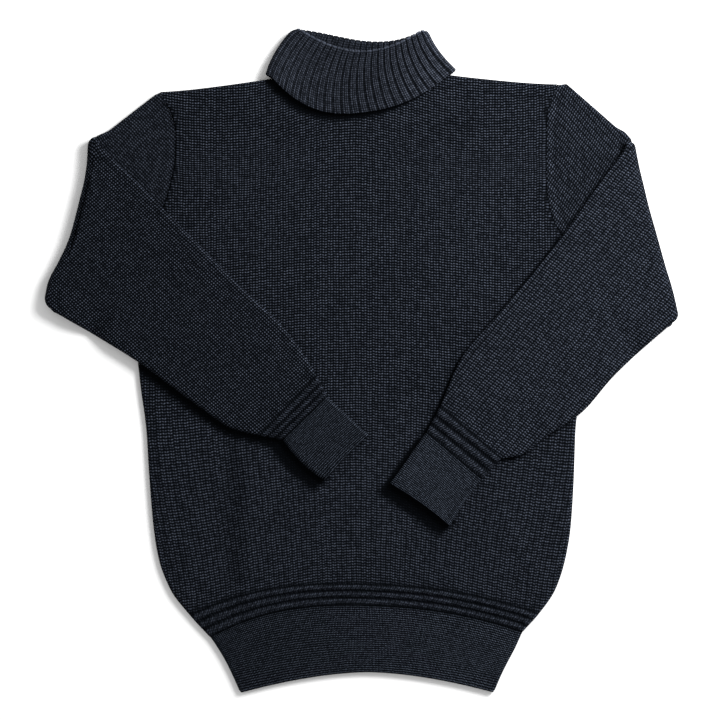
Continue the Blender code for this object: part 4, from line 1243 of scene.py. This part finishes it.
# the edges that lie over the body and the upper arms
def coverLines():
    found = []
    for table in (leftSleeve, rightSleeve):
        forearm = np.array(table["forearm"], float)
        tip = mixed(forearm[0], forearm[1], np.array(sleeveLay["tipShares"])[:, None])
        tip[:, :2] = SleeveShape(table).roundTips(tip[:, :2])
        forearm = np.concatenate([tip, forearm[1:]])
        cuff = np.array(table["cuff"], float)
        first, second = (slice(2, 4), slice(0, 2))[:: int(-table["sign"])]
        atElbow, atWrist, core = table["armShade"]
        found.append((forearm[:, first], atElbow, atWrist, core))
        found.append((forearm[::-1, second], atWrist, atElbow, core))
        end = np.concatenate([cuff[:, first], cuff[::-1, second]])
        found.append((end, *sleeveLay["cuffShade"]))
    return found + [(collarLine("edge", True)[::5], *collarCut["shade"])]


covers = coverLines()


# Put the pieces on the frame

materials = {"body_knit": bodyKnit, "band_knit": bandKnit, "collar_rib": collarKnit}


# width, length and area are the cut of what shows of a piece, in metres, all round on a tube; they
# are not used
def place(mesh, name, node, slot, restsOn, width, length, area=None):
    piece = mesh.build(name, materials[slot])
    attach(piece, "root")
    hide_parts(node)


left, right = SleeveShape(leftSleeve), SleeveShape(rightSleeve)
onBack, onFront = ["back_panel"], ["front_panel"]
place(panelMesh(True), "front_panel", "front", "body_knit", onBack, 0.535, 0.640, 0.285)
place(panelMesh(False), "back_panel", "back", "body_knit", [], 0.535, 0.660, 0.290)
place(sleeveMesh(left), "left_sleeve", "sleeve_left", "body_knit", onFront, 0.345, 0.560, 0.150)
place(cuffMesh(left), "left_cuff", "cuff_left", "band_knit", onFront, 0.150, 0.074)
place(sleeveMesh(right), "right_sleeve", "sleeve_right", "body_knit", onFront, 0.355, 0.560, 0.155)
place(cuffMesh(right), "right_cuff", "cuff_right", "band_knit", onFront, 0.178, 0.080)
place(hemMesh(), "hem_rib", "hem_band", "band_knit", [], 0.710, 0.080)
place(collarMesh(), "roll_collar", "collar", "collar_rib", onBack, 0.395, 0.150)
print("pieces made")


# Floor, lights and camera

studio = {
    "pixel": 1.15,  # millimetres of the laid-out garment in one pixel of the render
    "pixels": 720, "centre": (-1.15, 0.575), "distance": 3.0, "focusHeight": 0.006,
    "sensor": 36.0, "floor": 0.86, "floorReach": 4.0, "keyPlace": (0.85, 0.65, 0.95),
    "keyAim": (0.05, 0.0, 0.0), "keySize": 0.7, "keyPower": 40.0, "fill": 0.68,
}


def makeStudio():
    scene = bpy.context.scene
    floorMesh = bpy.data.meshes.new("floor")
    far = studio["floorReach"]
    corners = [(-far, -far, 0.0), (far, -far, 0.0), (far, far, 0.0), (-far, far, 0.0)]
    floorMesh.from_pydata(corners, [], [(0, 1, 2, 3)])
    shader = ClothShader("pale_floor")
    colour = (studio["floor"],) * 3 + (1.0,)
    surface = {"Base Color": colour, "Roughness": 0.9, "Specular IOR Level": 0.1}
    floorMesh.materials.append(shader.finish(surface))
    floor = addObject("floor", floorMesh)

    key = bpy.data.lights.new("key", "AREA")
    key.energy = studio["keyPower"]
    key.size = studio["keySize"]
    keyObject = addObject("key", key)
    keyObject.location = studio["keyPlace"]
    aim = Vector(studio["keyAim"]) - Vector(studio["keyPlace"])
    keyObject.rotation_euler = aim.to_track_quat("-Z", "Y").to_euler()

    world = bpy.data.worlds.new("studio")
    world.use_nodes = True
    background = world.node_tree.nodes["Background"]
    background.inputs["Color"].default_value = (1.0, 1.0, 1.0, 1.0)
    background.inputs["Strength"].default_value = studio["fill"]
    scene.world = world

    camera = bpy.data.cameras.new("camera")
    cameraObject = addObject("camera", camera)
    centreX, centreY = studio["centre"]
    cameraObject.location = (centreX * mm, centreY * mm, studio["distance"])
    span = studio["pixels"] * studio["pixel"] * mm
    camera.sensor_width = studio["sensor"]
    camera.lens = studio["sensor"] * (studio["distance"] - studio["focusHeight"]) / span
    camera.clip_end = 50.0
    scene.camera = cameraObject
    scene.view_settings.view_transform = "Standard"
    print("studio made")


makeStudio()
